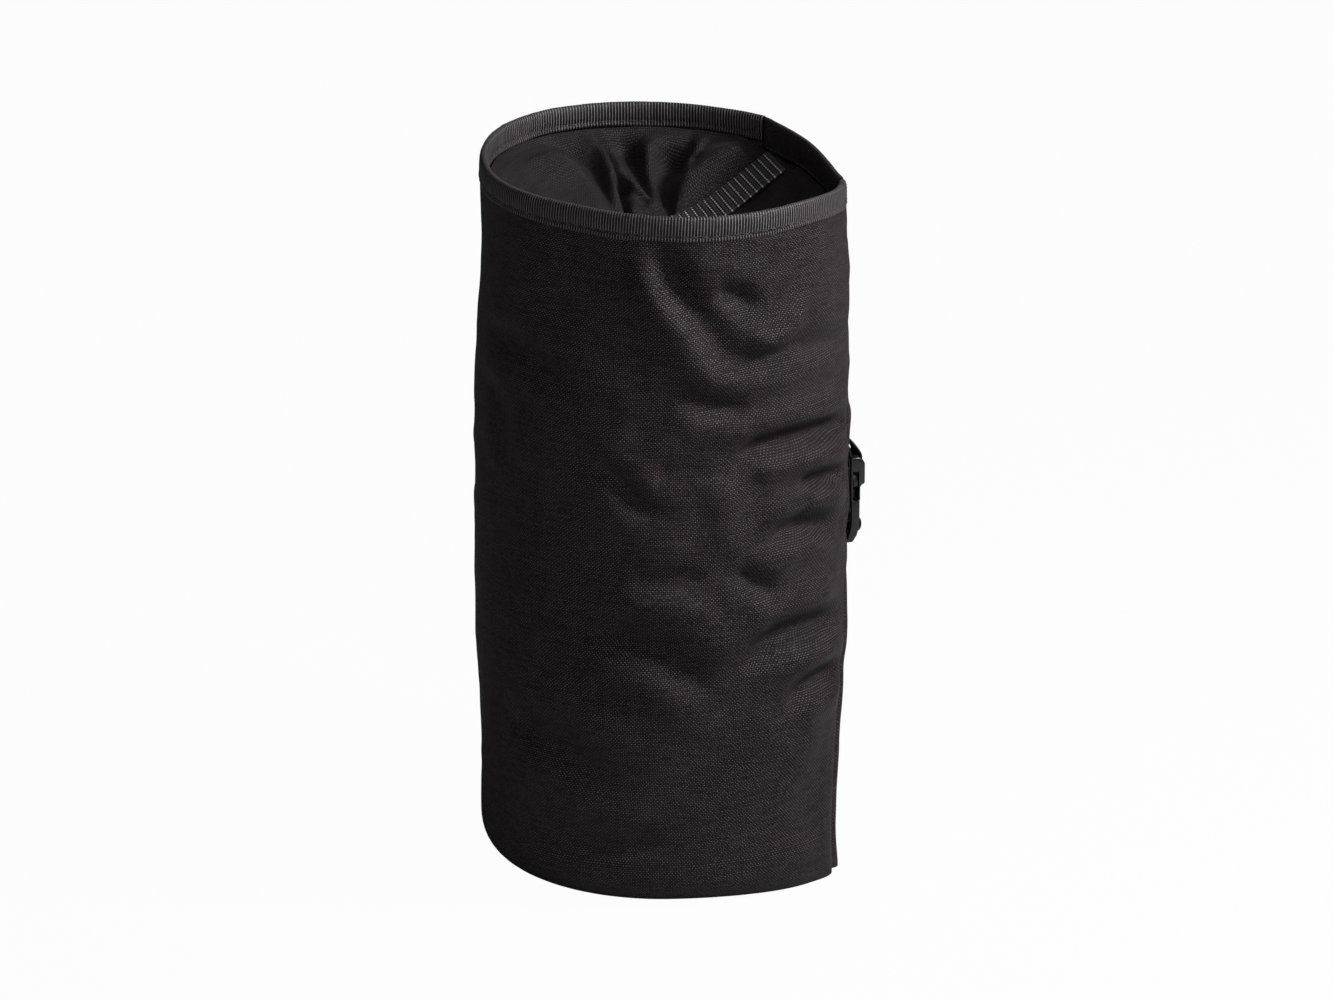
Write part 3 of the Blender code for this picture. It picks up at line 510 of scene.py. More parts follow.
# each fold: its line as (angle, height), its depth in mm (a ridge is above 0), and its width in mm
# on its upper and its lower side
folds = [
    ([(-27, .424), (-23, .403), (-20, .385), (-12, .362), (-5, .335), (0, .322)], 3.5, 8, 16),
    ([(-21, .416), (-17, .398), (-12, .383), (-6, .368)], -3.0, 11, 7),
    ([(-4, .392), (4, .385), (10, .374)], -3.2, 7, 7),
    ([(5, .363), (11, .357), (16, .356), (21, .363), (28, .382)], 2.8, 6, 6),
    ([(-4, .352), (6, .345), (17, .344), (31, .345), (56, .338)], -2.5, 9, 7),
    ([(-14, .334), (-7, .323), (0, .317), (9, .318)], -3.6, 8, 7),
    ([(-31, .301), (-23, .309), (-15, .322), (-8, .329)], -1.8, 9, 9),
    ([(1, .276), (6, .286), (12, .290), (30, .290), (56, .283)], -6.8, 8, 7),
    ([(23, .257), (31, .260), (56, .251)], -5.0, 7, 6),
    ([(-42, .281), (-34, .278), (-29, .268), (-25, .259), (-18, .254)], -3.6, 7, 7),
    ([(-23, .277), (-11, .280), (-3, .284)], -1.6, 12, 9),
    ([(0, .282), (0, .250), (0, .221)], 1.8, 9, 9),
    ([(12, .228), (22, .233), (30, .233), (48, .222)], -5.0, 9, 7),
    ([(-90, .341), (-68, .343), (-58, .337), (-46, .331)], -2.4, 9, 10),
    ([(-91, .309), (-80, .300), (-77, .278), (-75, .261)], -1.2, 10, 9),
    ([(-30, .210), (-15, .212), (-3, .212)], -2.2, 9, 9),
    ([(2, .218), (10, .205), (19, .194)], -3.4, 8, 7),
    ([(3, .155), (14, .163), (22, .168), (48, .166)], -6.0, 10, 8),
    ([(20, .122), (32, .131), (50, .131)], -5.2, 9, 8),
    ([(-42, .183), (-30, .175), (-19, .165), (-7, .147), (-1, .133)], -4.8, 14, 11),
    ([(-76, .103), (-56, .103), (-45, .094), (-30, .080)], -3.8, 13, 11),
    ([(-52, .046), (-36, .040), (-16, .044)], -2.6, 11, 10),
    ([(-118, .352), (-136, .346), (-152, .352)], -3.4, 11, 9),
    ([(-140, .300), (-160, .292), (-178, .298)], -3.0, 10, 9),
    ([(-108, .246), (-124, .238), (-139, .242)], -2.4, 10, 9),
    ([(-165, .384), (-178, .372), (-196, .376)], -3.6, 10, 9),
    ([(-186, .330), (-204, .322), (-233, .330)], -4.2, 11, 9),
    ([(-170, .228), (-190, .222), (-212, .228), (-234, .222)], -3.2, 12, 10),
    ([(-146, .176), (-164, .166), (-180, .170)], -2.2, 14, 12),
    ([(-196, .142), (-214, .136), (-232, .140)], -2.8, 11, 10),
    ([(-122, .120), (-140, .112)], -1.6, 13, 12),
    ([(-150, .420), (-154, .400), (-158, .384)], -2.6, 9, 9),
    ([(62, .352), (78, .347), (92, .349)], -2.0, 9, 9),
    ([(100, .322), (112, .326), (128, .320)], -2.4, 9, 9),
    ([(58, .300), (70, .296), (80, .292)], -2.2, 8, 8),
    ([(104, .262), (116, .268), (128, .264)], -2.0, 9, 9),
    ([(56, .206), (68, .212), (78, .214)], -2.2, 9, 9),
    ([(100, .176), (112, .170), (127, .174)], -2.2, 9, 9),
    ([(54, .128), (66, .122), (80, .124)], -1.8, 10, 10),
    ([(98, .082), (110, .078), (124, .084)], -1.6, 11, 10),
    ([(70, .404), (72, .386), (74, .372)], -1.8, 8, 8),
    ([(112, .402), (108, .386), (106, .374)], -1.8, 8, 8),
]
# how far the mouth stands out of its plan, as (angle, mm)
rimShape = [(-240, 0), (-215, 1), (-190, 5), (-165, 9), (-145, 7), (-125, 2), (-108, 0), (-88, -1), (-70, -4),
            (-50, -8), (-30, -5), (-12, -1), (0, 0), (140, 0)]
# and how far the wall does, in mm, at these angles and heights
sideShape = {
    "angles": (-250, -160, -108, -70, -20, 30, 50, 70, 100, 140),
    "heights": (0.0, 0.05, 0.12, 0.20, 0.28, 0.36, 0.435),
    "push": ((0, 0, 2, 2, 0, 0, -2, -2, -1, 0), (0, 0, 0, 1, 0, 0, -3, -3, -1, 0), (0, 0, -1, 0, 0, 0, -2, -2, 0, 0),
             (0, 0, -3, -1, 0, 0, -1.5, -1.5, 0, 0), (0, 0, -3, -1, 0, 0, 0, 0, 0, 0),
             (0, 0, -4, -2, 0, 0, 2, 2, 1, 0), (0, 0, -2, 0, 0, 0, 1, 0, 0, 0)),
}


def foldsAt(angle, height):
    # how far the cloth stands out of the smooth wall, in metres, at these angles and heights
    unroll = bag["unrollRadius"]
    angle, height = np.broadcast_arrays(angle, height)
    u, v = np.radians(angle) * unroll, height
    total = np.zeros(np.broadcast(u, v).shape)
    for line, depth, above, below in folds:
        points = np.array(line, float)
        points[:, 0] = np.radians(points[:, 0]) * unroll
        route = evenly(curveThrough(points, 0.004), 0.005)
        far = alongOf(route)
        reach = 4 * max(above, below) / 1000
        near = ((u > route[:, 0].min() - reach) & (u < route[:, 0].max() + reach)
                & (v > route[:, 1].min() - reach) & (v < route[:, 1].max() + reach))
        if not near.any():
            continue
        p = np.stack([u[near], v[near]], 1)
        best = np.full(len(p), 1e9)
        signed, where = np.zeros(len(p)), np.zeros(len(p))
        for a, b, start in zip(route, route[1:], far):
            d = b - a
            size = math.hypot(*d)
            raw = ((p - a) @ d) / size ** 2
            t = np.clip(raw, 0, 1)
            gap = p - a - t[:, None] * d
            dist = np.hypot(gap[:, 0], gap[:, 1])
            side = (d[0] * (p[:, 1] - a[1]) - d[1] * (p[:, 0] - a[0])) / size
            closer = dist < best
            best[closer] = dist[closer]
            signed[closer] = side[closer]
            where[closer] = (start + t * size)[closer] / far[-1]
        dist = best * 1000
        lean = 0.5 + 0.5 * np.clip(signed / np.maximum(best, 1e-6), -1, 1)
        wide = below + (above - below) * lean
        ends = smoothstep(where / 0.28) * smoothstep((1 - where) / 0.28) * 0.85 + 0.15
        dip = depth * bell(dist / wide)
        puff = -0.42 * depth * bell((dist - 1.9 * wide) / (1.15 * wide))
        total[near] += (dip + puff) * ends * bag["foldGain"]
    slant = softNoise(u * 0.80 - v * 0.60 + 4.0, (u * 0.60 + v * 0.80) * 0.32 + 2.0, 0.030, 6)
    soft = (0.9 * softNoise(u + 2.0, v + 1.0, 0.046, 3) + bag["slant"] * slant
            + 0.45 * softNoise(u + 2.0, v + 1.0, 0.021, 4) + 0.18 * softNoise(u + 2.0, v + 1.0, 0.0095, 5))
    total = total + soft
    foot = smoothstep((height - 0.012) / 0.040)
    top = 1 - 0.72 * smoothstep((height - 0.404) / 0.028)
    angles, pushes = zip(*rimShape)
    rim = np.interp(angle, angles, pushes) * smoothstep((height - 0.330) / 0.095)
    table = np.array(sideShape["push"], float)
    rows = np.stack([np.interp(angle, sideShape["angles"], row) for row in table])
    k = np.clip(np.searchsorted(sideShape["heights"], height, side="right") - 1, 0, len(table) - 2)
    knots = np.array(sideShape["heights"])
    t = smoothstep((height - knots[k]) / (knots[k + 1] - knots[k]))
    low = np.take_along_axis(rows, k[None] * np.ones_like(rows[:1], int), 0)[0]
    high = np.take_along_axis(rows, k[None] * np.ones_like(rows[:1], int) + 1, 0)[0]
    shape = low + (high - low) * t
    return (total * foot * top + rim + shape) / 1000


def wallAt(panel, share, height, roll=0.0, out=0.0):
    # points of the bag's wall: share runs round the body panel from the right seam to the left one,
    # or across the back panel from the left seam to the right one
    share, height, roll = np.broadcast_arrays(np.asarray(share, float), np.asarray(height, float),
                                              np.asarray(roll, float))
    half, front, seamX, seamY, backY = planAt(height)
    if panel == "body":
        rear = seamY / np.sqrt(1 - (seamX / half) ** 2)
        start = np.arccos(seamX / half)
        a = start - share * (math.pi + 2 * start)
        deep = np.where(np.sin(a) > 0, rear, front)
        x, y = half * np.cos(a), deep * np.sin(a)
        nx, ny = np.cos(a) / half, np.sin(a) / deep
        rolled = smoothstep(np.minimum(share, 1 - share) / bag["rollSpan"])
    else:
        x = (2 * share - 1) * seamX
        y = seamY + (backY - seamY) * (1 - (x / seamX) ** 2)
        nx, ny = 2 * (backY - seamY) * x / seamX ** 2, np.ones_like(x)
        rolled = np.zeros_like(x)
    size = np.hypot(nx, ny)
    nx, ny = nx / size, ny / size
    radius = bag["baseRound"]
    inset = radius * rolled * (1 - np.cos(roll)) ** 1.35
    z = height - radius * np.sin(roll) ** 0.86
    angle = np.degrees(np.arctan2(y, x))
    if panel == "body":
        angle = np.where(angle > 100, angle - 360, angle)
    push = np.zeros_like(x) + out
    low = 1 - smoothstep((height - 0.070) / 0.150)
    # the seam is drawn in, and the back panel rounds out beside it
    cornerX, cornerY = np.where(x > 0, seamX, -seamX), seamY
    apart = np.hypot(x - cornerX, y - cornerY)
    turned = angle + np.degrees(bag["rimTwist"]) * height / bag["height"]
    fold = foldsAt(turned, height) * (0.35 + 0.65 * smoothstep(apart / 0.012))
    if panel == "back":
        # the cloth is held flat behind the strap
        held = smoothstep((0.030 - np.abs(x)) / 0.012) * smoothstep((height - 0.095) / 0.012)
        held = held * smoothstep((0.352 - height) / 0.012)
        fold = fold * (1 - 0.92 * held) - 0.0002 * held
    push = push + fold * (1 - 0.90 * smoothstep(roll / 1.1))
    groove = (0.0014 + 0.0022 * low) * smoothstep((0.412 - height) / 0.02)
    if panel == "back":
        push = push + (0.0006 + 0.0022 * low) * bell((apart - 0.0055) / 0.0042)
    else:
        push = push + 0.0008 * low * bell((apart - 0.012) / 0.007)
    deepIn = groove * bell(apart / (0.0028 + 0.0016 * low))
    inX, inY = -cornerX / np.hypot(cornerX, cornerY), -cornerY / np.hypot(cornerX, cornerY)
    flatten = np.cos(roll * rolled)
    x = x + nx * (push * flatten - inset) + inX * deepIn
    y = y + ny * (push * flatten - inset) + inY * deepIn
    z = z - push * np.sin(roll * rolled)
    turn = bag["rimTwist"] * np.clip(z, 0, None) / bag["height"]
    x, y = x * np.cos(turn) - y * np.sin(turn), x * np.sin(turn) + y * np.cos(turn)
    return settle(np.stack([x, y, np.maximum(z, 0.0)], -1))


def settle(points):
    # lowers the mouth near its right-hand corner
    points = np.array(points, float)
    corner = (0.0541, 0.0940)
    away = np.hypot(points[..., 0] - corner[0], points[..., 1] - corner[1])
    high = smoothstep((points[..., 2] - 0.335) / 0.100)
    points[..., 2] -= bag["cornerDrop"] * (1 - smoothstep(away / bag["cornerSpan"])) * high
    return points


def wallNormal(panel, share, height, out=0.0):
    e = 0.0015
    a = wallAt(panel, share, height, 0.0, out)
    b = wallAt(panel, np.asarray(share) + e, height, 0.0, out)
    c = wallAt(panel, share, np.asarray(height) + e, 0.0, out)
    normal = unit(np.cross(c - a, b - a))
    outside = a * np.array((1, 1, 0))
    return np.where(np.sum(normal * outside, -1, keepdims=True) > 0, normal, -normal)


def wallSheet(panel, cols, rows, top):
    # heights and rolls from the base up
    rolls = np.linspace(bag["rollEnd"], 0, 14)[:-1]
    heights = np.concatenate([np.full(len(rolls), bag["baseRound"]),
                              np.linspace(bag["baseRound"], top, rows)])
    rolls = np.concatenate([rolls, np.zeros(rows)])
    share = np.linspace(0, 1, cols)
    grid = wallAt(panel, share[None, :], heights[:, None], rolls[:, None])
    middle = len(heights) // 2
    return grid, alongOf(grid[middle]), heights - bag["baseRound"] * rolls


def makeBody():
    grid, across, up = wallSheet("body", 340, 210, bag["height"] - 0.0012)
    body = thicken(gridMesh("bag_body", grid, across, up, clothFinish), bag["cloth"])
    grid, across, up = wallSheet("back", 110, 210, bag["height"] - 0.0004)
    back = thicken(gridMesh("bag_back", grid[:, ::-1], across, up, clothFinish), bag["cloth"])
    return body, back


body, back = makeBody()
for piece, node in ((body, "body_panel"), (back, "back_panel")):
    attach(piece, "bag")
    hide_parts(node)
print("bag walls made")

# sewing: every stitch is a short length of thread that dips into the cloth at both ends
sewing = {
    "radius": 0.00032,
    "sides": 6,
    "rings": 6,
}


def stitchRow(name, path, normals, long, gap, material, radius=None):
    radius = radius or sewing["radius"]
    path, normals = np.asarray(path, float), np.asarray(normals, float)
    far = alongOf(path)

    def at(d, table):
        return np.stack([np.interp(d, far, table[:, k]) for k in range(3)], -1)

    points, faces, uvs = [], [], []
    sides, rings = sewing["sides"], sewing["rings"]
    turn = np.linspace(0, 2 * math.pi, sides, endpoint=False)
    d = 0.0
    while d + long < far[-1]:
        t = np.linspace(0, 1, rings)
        middle, up = at(d + long * t, path), unit(at(d + long * t, normals))
        ahead = unit(np.gradient(middle, axis=0))
        side = unit(np.cross(up, ahead))
        lift = radius * (np.sin(math.pi * t) ** 0.5 * 1.35 - 0.75)
        size = radius * np.sqrt(np.clip(1 - (2 * t - 1) ** 6, 0.12, 1))
        ring = (middle[:, None] + up[:, None] * (lift[:, None] + size[:, None] * np.sin(turn))[..., None]
                + side[:, None] * (size[:, None] * np.cos(turn))[..., None])
        first = len(points)
        points += ring.reshape(-1, 3).tolist()
        for i in range(rings - 1):
            for j in range(sides):
                k = (j + 1) % sides
                faces.append((first + i * sides + j, first + i * sides + k, first + (i + 1) * sides + k,
                              first + (i + 1) * sides + j))
                u0, u1 = j / sides * 0.002, (j + 1) / sides * 0.002
                v0, v1 = long * i / (rings - 1), long * (i + 1) / (rings - 1)
                uvs += [(u0, v0), (u1, v0), (u1, v1), (u0, v1)]
        faces.append(tuple(first + j for j in range(sides))[::-1])
        faces.append(tuple(first + (rings - 1) * sides + j for j in range(sides)))
        uvs += [(0.0, 0.0)] * (2 * sides)
        d += long + gap
    return finishMesh(name, points, faces, uvs, material)


def stitchWall(name, panel, height, out, long, gap, material, shares=(0.012, 0.988), radius=None):
    share = np.linspace(shares[0], shares[1], 420)
    path = wallAt(panel, share, np.full_like(share, height), 0.0, out)
    normals = wallNormal(panel, share, np.full_like(share, height), out)
    if out < -0.001:
        normals = -normals
    row = stitchRow(name, path, normals, long, gap, material, radius)
    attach(row, "bag")
    return row


# the ribbed tape folded over the edge of the mouth
binding = {
    "foot": 0.4205,
    "ribPitch": 0.0019,
    "ribHigh": 0.00034,
    "columnsPerRib": 5,
    "stitchHeight": 0.4234,
    "stitchLong": 0.0044,
    "stitchGap": 0.0018,
    "outline": [(.0014, .4205), (.0016, .4220), (.0008, .4234), (.0014, .4248), (.0016, .4275), (.0015, .4310),
                (.0011, .4334), (.0003, .4347), (-.0007, .4350), (-.0018, .4347), (-.0026, .4334),
                (-.0030, .4310), (-.0031, .4275), (-.0029, .4248), (-.0023, .4234), (-.0031, .4220),
                (-.0028, .4205), (-.0018, .4205), (-.0019, .4320), (-.0007, .4341), (.0003, .4320), (.0003, .4205)],
    "facesOut": 17,            # how many of the outline's points are on the ribbed side
}


def makeBinding():
    outline = np.array(binding["outline"])
    long = alongOf(wallAt("body", np.linspace(0, 1, 400), np.full(400, 0.43)))[-1]
    columns = int(long / binding["ribPitch"] * binding["columnsPerRib"])
    share = np.linspace(0.0, 1.0, columns)
    along = share * long
    ribs = np.abs(np.sin(math.pi * along / binding["ribPitch"])) ** 0.7
    uneven = 0.75 + 0.25 * softNoise(along, 0.0 * along, 0.004, 21)
    grid = np.zeros((columns, len(outline), 3))
    wave = 0.0007 * softNoise(along + 3.0, 0.0 * along, 0.034, 22)
    for k, (out, height) in enumerate(outline):
        rib = binding["ribHigh"] * ribs * uneven * (k < binding["facesOut"])
        sign = 1.0 if out > -0.0008 else -1.0
        foot = 1 - smoothstep((height - binding["foot"]) / 0.009)
        raised = np.where(abs(out + .0007) < .0011, rib, 0) * 0.8
        grid[:, k] = wallAt("body", share, height + wave * foot + raised, 0.0,
                            out + sign * rib + (out > 0) * wave * 0.5 * foot)
    ring = np.vstack([outline, outline[:1]])
    tape = gridMesh("mouth_tape", grid, alongOf(ring), along, tapeFinish, wrapCols=True, caps=True)
    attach(tape, "bag")
    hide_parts("mouth_binding")
    for name, out in (("mouth_stitches_outer", 0.0011), ("mouth_stitches_inner", -0.0026)):
        stitchWall(name, "body", binding["stitchHeight"], out, binding["stitchLong"], binding["stitchGap"],
                   stitchFinish, radius=0.00036)
    # the tape's raw ends are held by a dense bar of stitches
    for name, low, high in (("tape_end_bar_right", 0.0035, 0.0115), ("tape_end_bar_left", 0.9885, 0.9965)):
        for side, out in (("outer", 0.0016), ("inner", -0.0031)):
            rows, backs = [], []
            for k in range(14):
                height = 0.4216 + 0.00085 * k
                share = np.array([low, high])[::1 if k % 2 else -1]
                rows.append(wallAt("body", share, np.full(2, height), 0.0, out))
                backs.append(wallNormal("body", share, np.full(2, height), out) * (1 if out > 0 else -1))
            path, normals = np.concatenate(rows), np.concatenate(backs)
            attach(stitchRow(f"{name}_{side}", path, normals, 0.0028, 0.0002, stitchFinish, 0.00030), "bag")


def makeFacing():
    # the back panel's own edge, turned in over the top and sewn down
    outline = np.array([(-.0002, .4300), (.0003, .4326), (.0001, .4341), (-.0008, .4349), (-.0020, .4349),
                        (-.0030, .4338), (-.0034, .4310), (-.0034, .4185), (-.0031, .4168), (-.0034, .4150),
                        (-.0021, .4150), (-.0020, .4320), (-.0012, .4332), (-.0008, .4310)])
    share = np.linspace(0.035, 0.965, 150)
    grid = np.stack([wallAt("back", share, np.full_like(share, h), 0.0, out) for out, h in outline], 1)
    ring = np.vstack([outline, outline[:1]])
    facing = gridMesh("back_hem", grid[::-1], alongOf(ring), alongOf(grid[:, 4]), clothFinish, wrapCols=True,
                      caps=True)
    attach(facing, "bag")
    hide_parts("back_facing")
    stitchWall("back_hem_stitches_inner", "back", 0.4168, -0.0031, 0.0030, 0.0010, stitchFinish, (0.05, 0.95))
    stitchWall("back_hem_stitches_outer", "back", 0.4168, 0.0001, 0.0030, 0.0010, stitchFinish, (0.03, 0.97))


makeBinding()
makeFacing()
print("mouth made")


def baseLine(inset, count=260):
    # the edge of the base panel, inside the rolled-under cloth
    front = np.linspace(0, 1, count)
    back = np.linspace(0, 1, count // 3)[1:-1]
    a = wallAt("body", front, bag["baseRound"], bag["rollEnd"], -inset)
    b = wallAt("back", back, bag["baseRound"], math.pi / 2, -inset)
    b[:, 2] = 0.001
    return np.vstack([a, b])


def makeBase():
    line = baseLine(0.0)
    middle = line.mean(0)
    inward = unit((middle - line) * np.array((1, 1, 0)))
    rows = []
    for inset, height in ((0.0000, 0.0012), (0.0006, 0.0004), (0.0024, 0.0002), (0.0060, 0.0006)):
        ring = line + inward * inset
        ring[:, 2] = height
        rows.append(ring)
    for share in np.linspace(0.08, 0.97, 34):
        ring = rows[3] + (middle - rows[3]) * share
        lumps = 0.0007 * softNoise(ring[:, 0] + 1, ring[:, 1] + 1, 0.034, 31) * smoothstep(share / 0.2)
        ring[:, 2] = 0.0010 + 0.0006 * smoothstep(share / 0.3) + lumps
        rows.append(ring)
    top = [r + np.array((0, 0, 0.0012)) for r in rows]
    grid = np.array(rows + top[::-1])
    base = gridMesh("bag_base", grid[:, ::-1], alongOf(line[np.r_[0:len(line), 0]]),
                    np.linspace(0, 0.2, len(grid)), clothFinish, wrapCols=True)
    # flat UVs, so that the weave runs straight across the base
    mesh = base.data
    spots = np.empty(len(mesh.vertices) * 3)
    mesh.vertices.foreach_get("co", spots)
    index = np.empty(len(mesh.loops), int)
    mesh.loops.foreach_get("vertex_index", index)
    mesh.uv_layers["UVMap"].data.foreach_set("uv", spots.reshape(-1, 3)[index, :2].ravel())
    fill = bmesh.new()
    fill.from_mesh(mesh)
    bmesh.ops.holes_fill(fill, edges=[e for e in fill.edges if e.is_boundary])
    fill.to_mesh(mesh)
    fill.free()
    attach(base, "bag")
    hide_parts("base_panel")
    seam = line + inward * 0.0042
    seam[:, 2] = 0.0001
    down = np.broadcast_to((0.0, 0.0, -1.0), seam.shape)
    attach(stitchRow("base_stitches", seam[np.r_[0:len(seam), 0]] + np.array((0, 0, 0.0004)),
                      down[np.r_[0:len(seam), 0]], 0.0032, 0.0010, stitchFinish), "bag")
    inner = line + inward * 0.0040
    inner[:, 2] = 0.0
    grid = []
    for inset, height in ((0.0, 0.0030), (0.0, 0.0118), (0.0010, 0.0118), (0.0010, 0.0030)):
        grid.append(inner + inward * inset + np.array((0, 0, height)))
    grid = np.array(grid).transpose(1, 0, 2)
    tape = gridMesh("base_seam_tape", grid, (0, .0088, .0098, .0186, .0196), alongOf(inner[np.r_[0:len(inner), 0]]),
                    tapeFinish, wrapRows=True, wrapCols=True)
    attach(tape, "bag")
    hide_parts("base_seam_binding")


def makeSeamTapes():
    for side, panel, share in (("left", "back", 0.0), ("right", "back", 1.0)):
        height = np.linspace(0.020, 0.390, 260)
        corner = wallAt(panel, np.full_like(height, share), height, 0.0, 0.0)
        inward = unit(-corner * np.array((1, 1, 0)))
        start = corner + inward * 0.0036
        across = np.cross(inward, (0, 0, 1.0))
        ribs = 0.00012 * np.abs(np.sin(math.pi * height / 0.0019)) ** 0.7
        outline = [(-1, 0.0), (-1, 0.4), (-1, 0.8), (-1, 1.0), (1, 1.0), (1, 0.8), (1, 0.4), (1, 0.0)]
        grid = np.stack([start + across * (a * (0.0009 + ribs))[:, None] + inward * (0.0100 * b)
                         for a, b in outline], 1)
        tape = gridMesh(f"seam_tape_{side}", grid, np.linspace(0, 0.022, 9), height, tapeFinish, wrapCols=True,
                        caps=True)
        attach(tape, "bag")
        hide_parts(f"side_seam_binding_{side}")


makeBase()
makeSeamTapes()
print("base and seam tapes made")


# ribbed webbing for the rope's end, sewn in under the back hem
ropeStrap = {
    "wide": 0.0250,
    "thick": 0.0014,
    "pitch": 0.0046,
    "route": [(-0.0420, 0.0856, 0.4142), (-0.0420, 0.0780, 0.4092), (-0.0424, 0.0620, 0.3978),
              (-0.0430, 0.0460, 0.3872), (-0.0436, 0.0310, 0.3802), (-0.0442, 0.0160, 0.3778),
              (-0.0446, 0.0010, 0.3778)],
    "across": (0.973, 0.120, -0.150),
}

# the collar: a loose funnel of thinner cloth, gathered to its neck
collar = {
    "thick": 0.0008,
    "neckRadius": 0.0290,
    "neckHeight": 0.3700,
    "sag": 0.0050,
    "columns": 460,
    "rows": 84,
    "pleats": 31,
    # each fold: its line as (angle, share of the way to the neck), then its height and its width in mm
    "folds": [
        ([(222, .05), (206, .10), (199, .24), (193, .42), (190, .60)], 9.0, 19),
        ([(200, .03), (194, .08), (190, .22), (189, .39), (190, .60)], -9.0, 7),
        ([(187, .04), (183, .14), (183, .28), (184, .40), (187, .60)], 9.0, 4),
        ([(182, .05), (180, .20), (179, .34), (182, .50), (184, .90)], -13.0, 5),
        ([(179, .12), (178, .28), (176, .42), (172, .48), (167, .54), (166, .65)], 9.0, 5),
        ([(175, .00), (173, .12), (171, .29), (169, .40), (168, .50)], -15.0, 8),
        ([(165, .06), (168, .14), (168, .28), (166, .40), (165, .55), (165, .70)], 11.0, 7),
        ([(157, .10), (160, .22), (162, .36), (160, .54), (158, .90)], -16.0, 9),
        ([(130, .00), (138, .14), (144, .26), (148, .38), (149, .56), (145, .90)], 9.0, 13),
        ([(153, .00), (154, .10), (156, .18)], -5.0, 4),
        ([(148, .00), (150, .10), (152, .20)], 3.5, 4),
        ([(144, .00), (146, .06), (150, .16)], -4.0, 3.5),
        ([(240, .12), (238, .50), (236, 1.0)], -6.0, 11),
        ([(256, .10), (255, .50), (252, 1.0)], 7.0, 12),
        ([(273, .12), (271, .50), (270, 1.0)], -6.5, 10),
        ([(290, .10), (289, .50), (288, 1.0)], 6.0, 12),
        ([(307, .10), (306, .50), (304, 1.0)], -7.0, 9),
        ([(325, .10), (326, .50), (324, 1.0)], 6.5, 11),
        ([(343, .10), (343, .50), (342, 1.0)], -6.5, 9),
        ([(0, .10), (1, .50), (1, 1.0)], 6.5, 10),
        ([(17, .10), (17, .50), (18, 1.0)], -6.0, 9),
        ([(33, .10), (34, .50), (36, 1.0)], 6.5, 10),
        ([(51, .12), (52, .50), (54, 1.0)], -6.5, 10),
        ([(70, .10), (71, .50), (72, 1.0)], 6.0, 11),
        ([(89, .10), (90, .50), (91, 1.0)], -6.0, 10),
    ],
}


def collarEdge(columns):
    # the funnel's outer edge: under the tape in front, under the back hem behind
    front = int(columns * 0.76)
    share = np.linspace(0, 1, front)
    corner = smoothstep(np.minimum(share, 1 - share) / 0.03)
    a = wallAt("body", share, 0.4140 + 0.0055 * corner, 0.0, -0.0033)
    share = np.linspace(0, 1, columns - front + 2)[1:-1]
    b = wallAt("back", share, np.full_like(share, 0.4140), 0.0, -0.0033)
    return np.vstack([a, b])


def collarLift(angle, share, reach):
    # how far the funnel's folds stand up, in metres
    total = np.zeros(np.broadcast(angle, share).shape)
    full = smoothstep((share + 0.02) / 0.20) * (1 - 0.55 * smoothstep((share - 0.72) / 0.28))
    for line, high, wide in collar["folds"]:
        line = np.array(line, float)
        middle = np.interp(share, line[:, 1], line[:, 0])
        apart = np.abs((angle - middle + 180) % 360 - 180)
        begun = smoothstep((share - line[0, 1] + 0.05) / 0.16)
        done = 1.0 if line[-1, 1] > 0.85 else 1 - smoothstep((share - line[-1, 1]) / 0.2)
        dist = np.radians(apart) * reach * 1000
        width = wide * (0.45 + 0.55 * np.clip(reach / 0.085, 0, 1.3))
        total = total + high * np.exp(-(dist / width) ** 1.7) * begun * done * np.maximum(full, 0.25 * begun)
    u, v = np.radians(angle % 360) * 0.07, share * 0.09
    total = total + 1.1 * softNoise(u, v, 0.017, 41) * smoothstep(share / 0.15) * smoothstep((1 - share) / 0.2)
    pleat = np.sin(np.radians(angle) * collar["pleats"] + 1.2 * np.sin(np.radians(angle) * 5)
                   + 0.8 * np.sin(np.radians(angle) * 3 + 1))
    return (total + 1.7 * pleat * smoothstep((share - 0.60) / 0.38)) / 1000


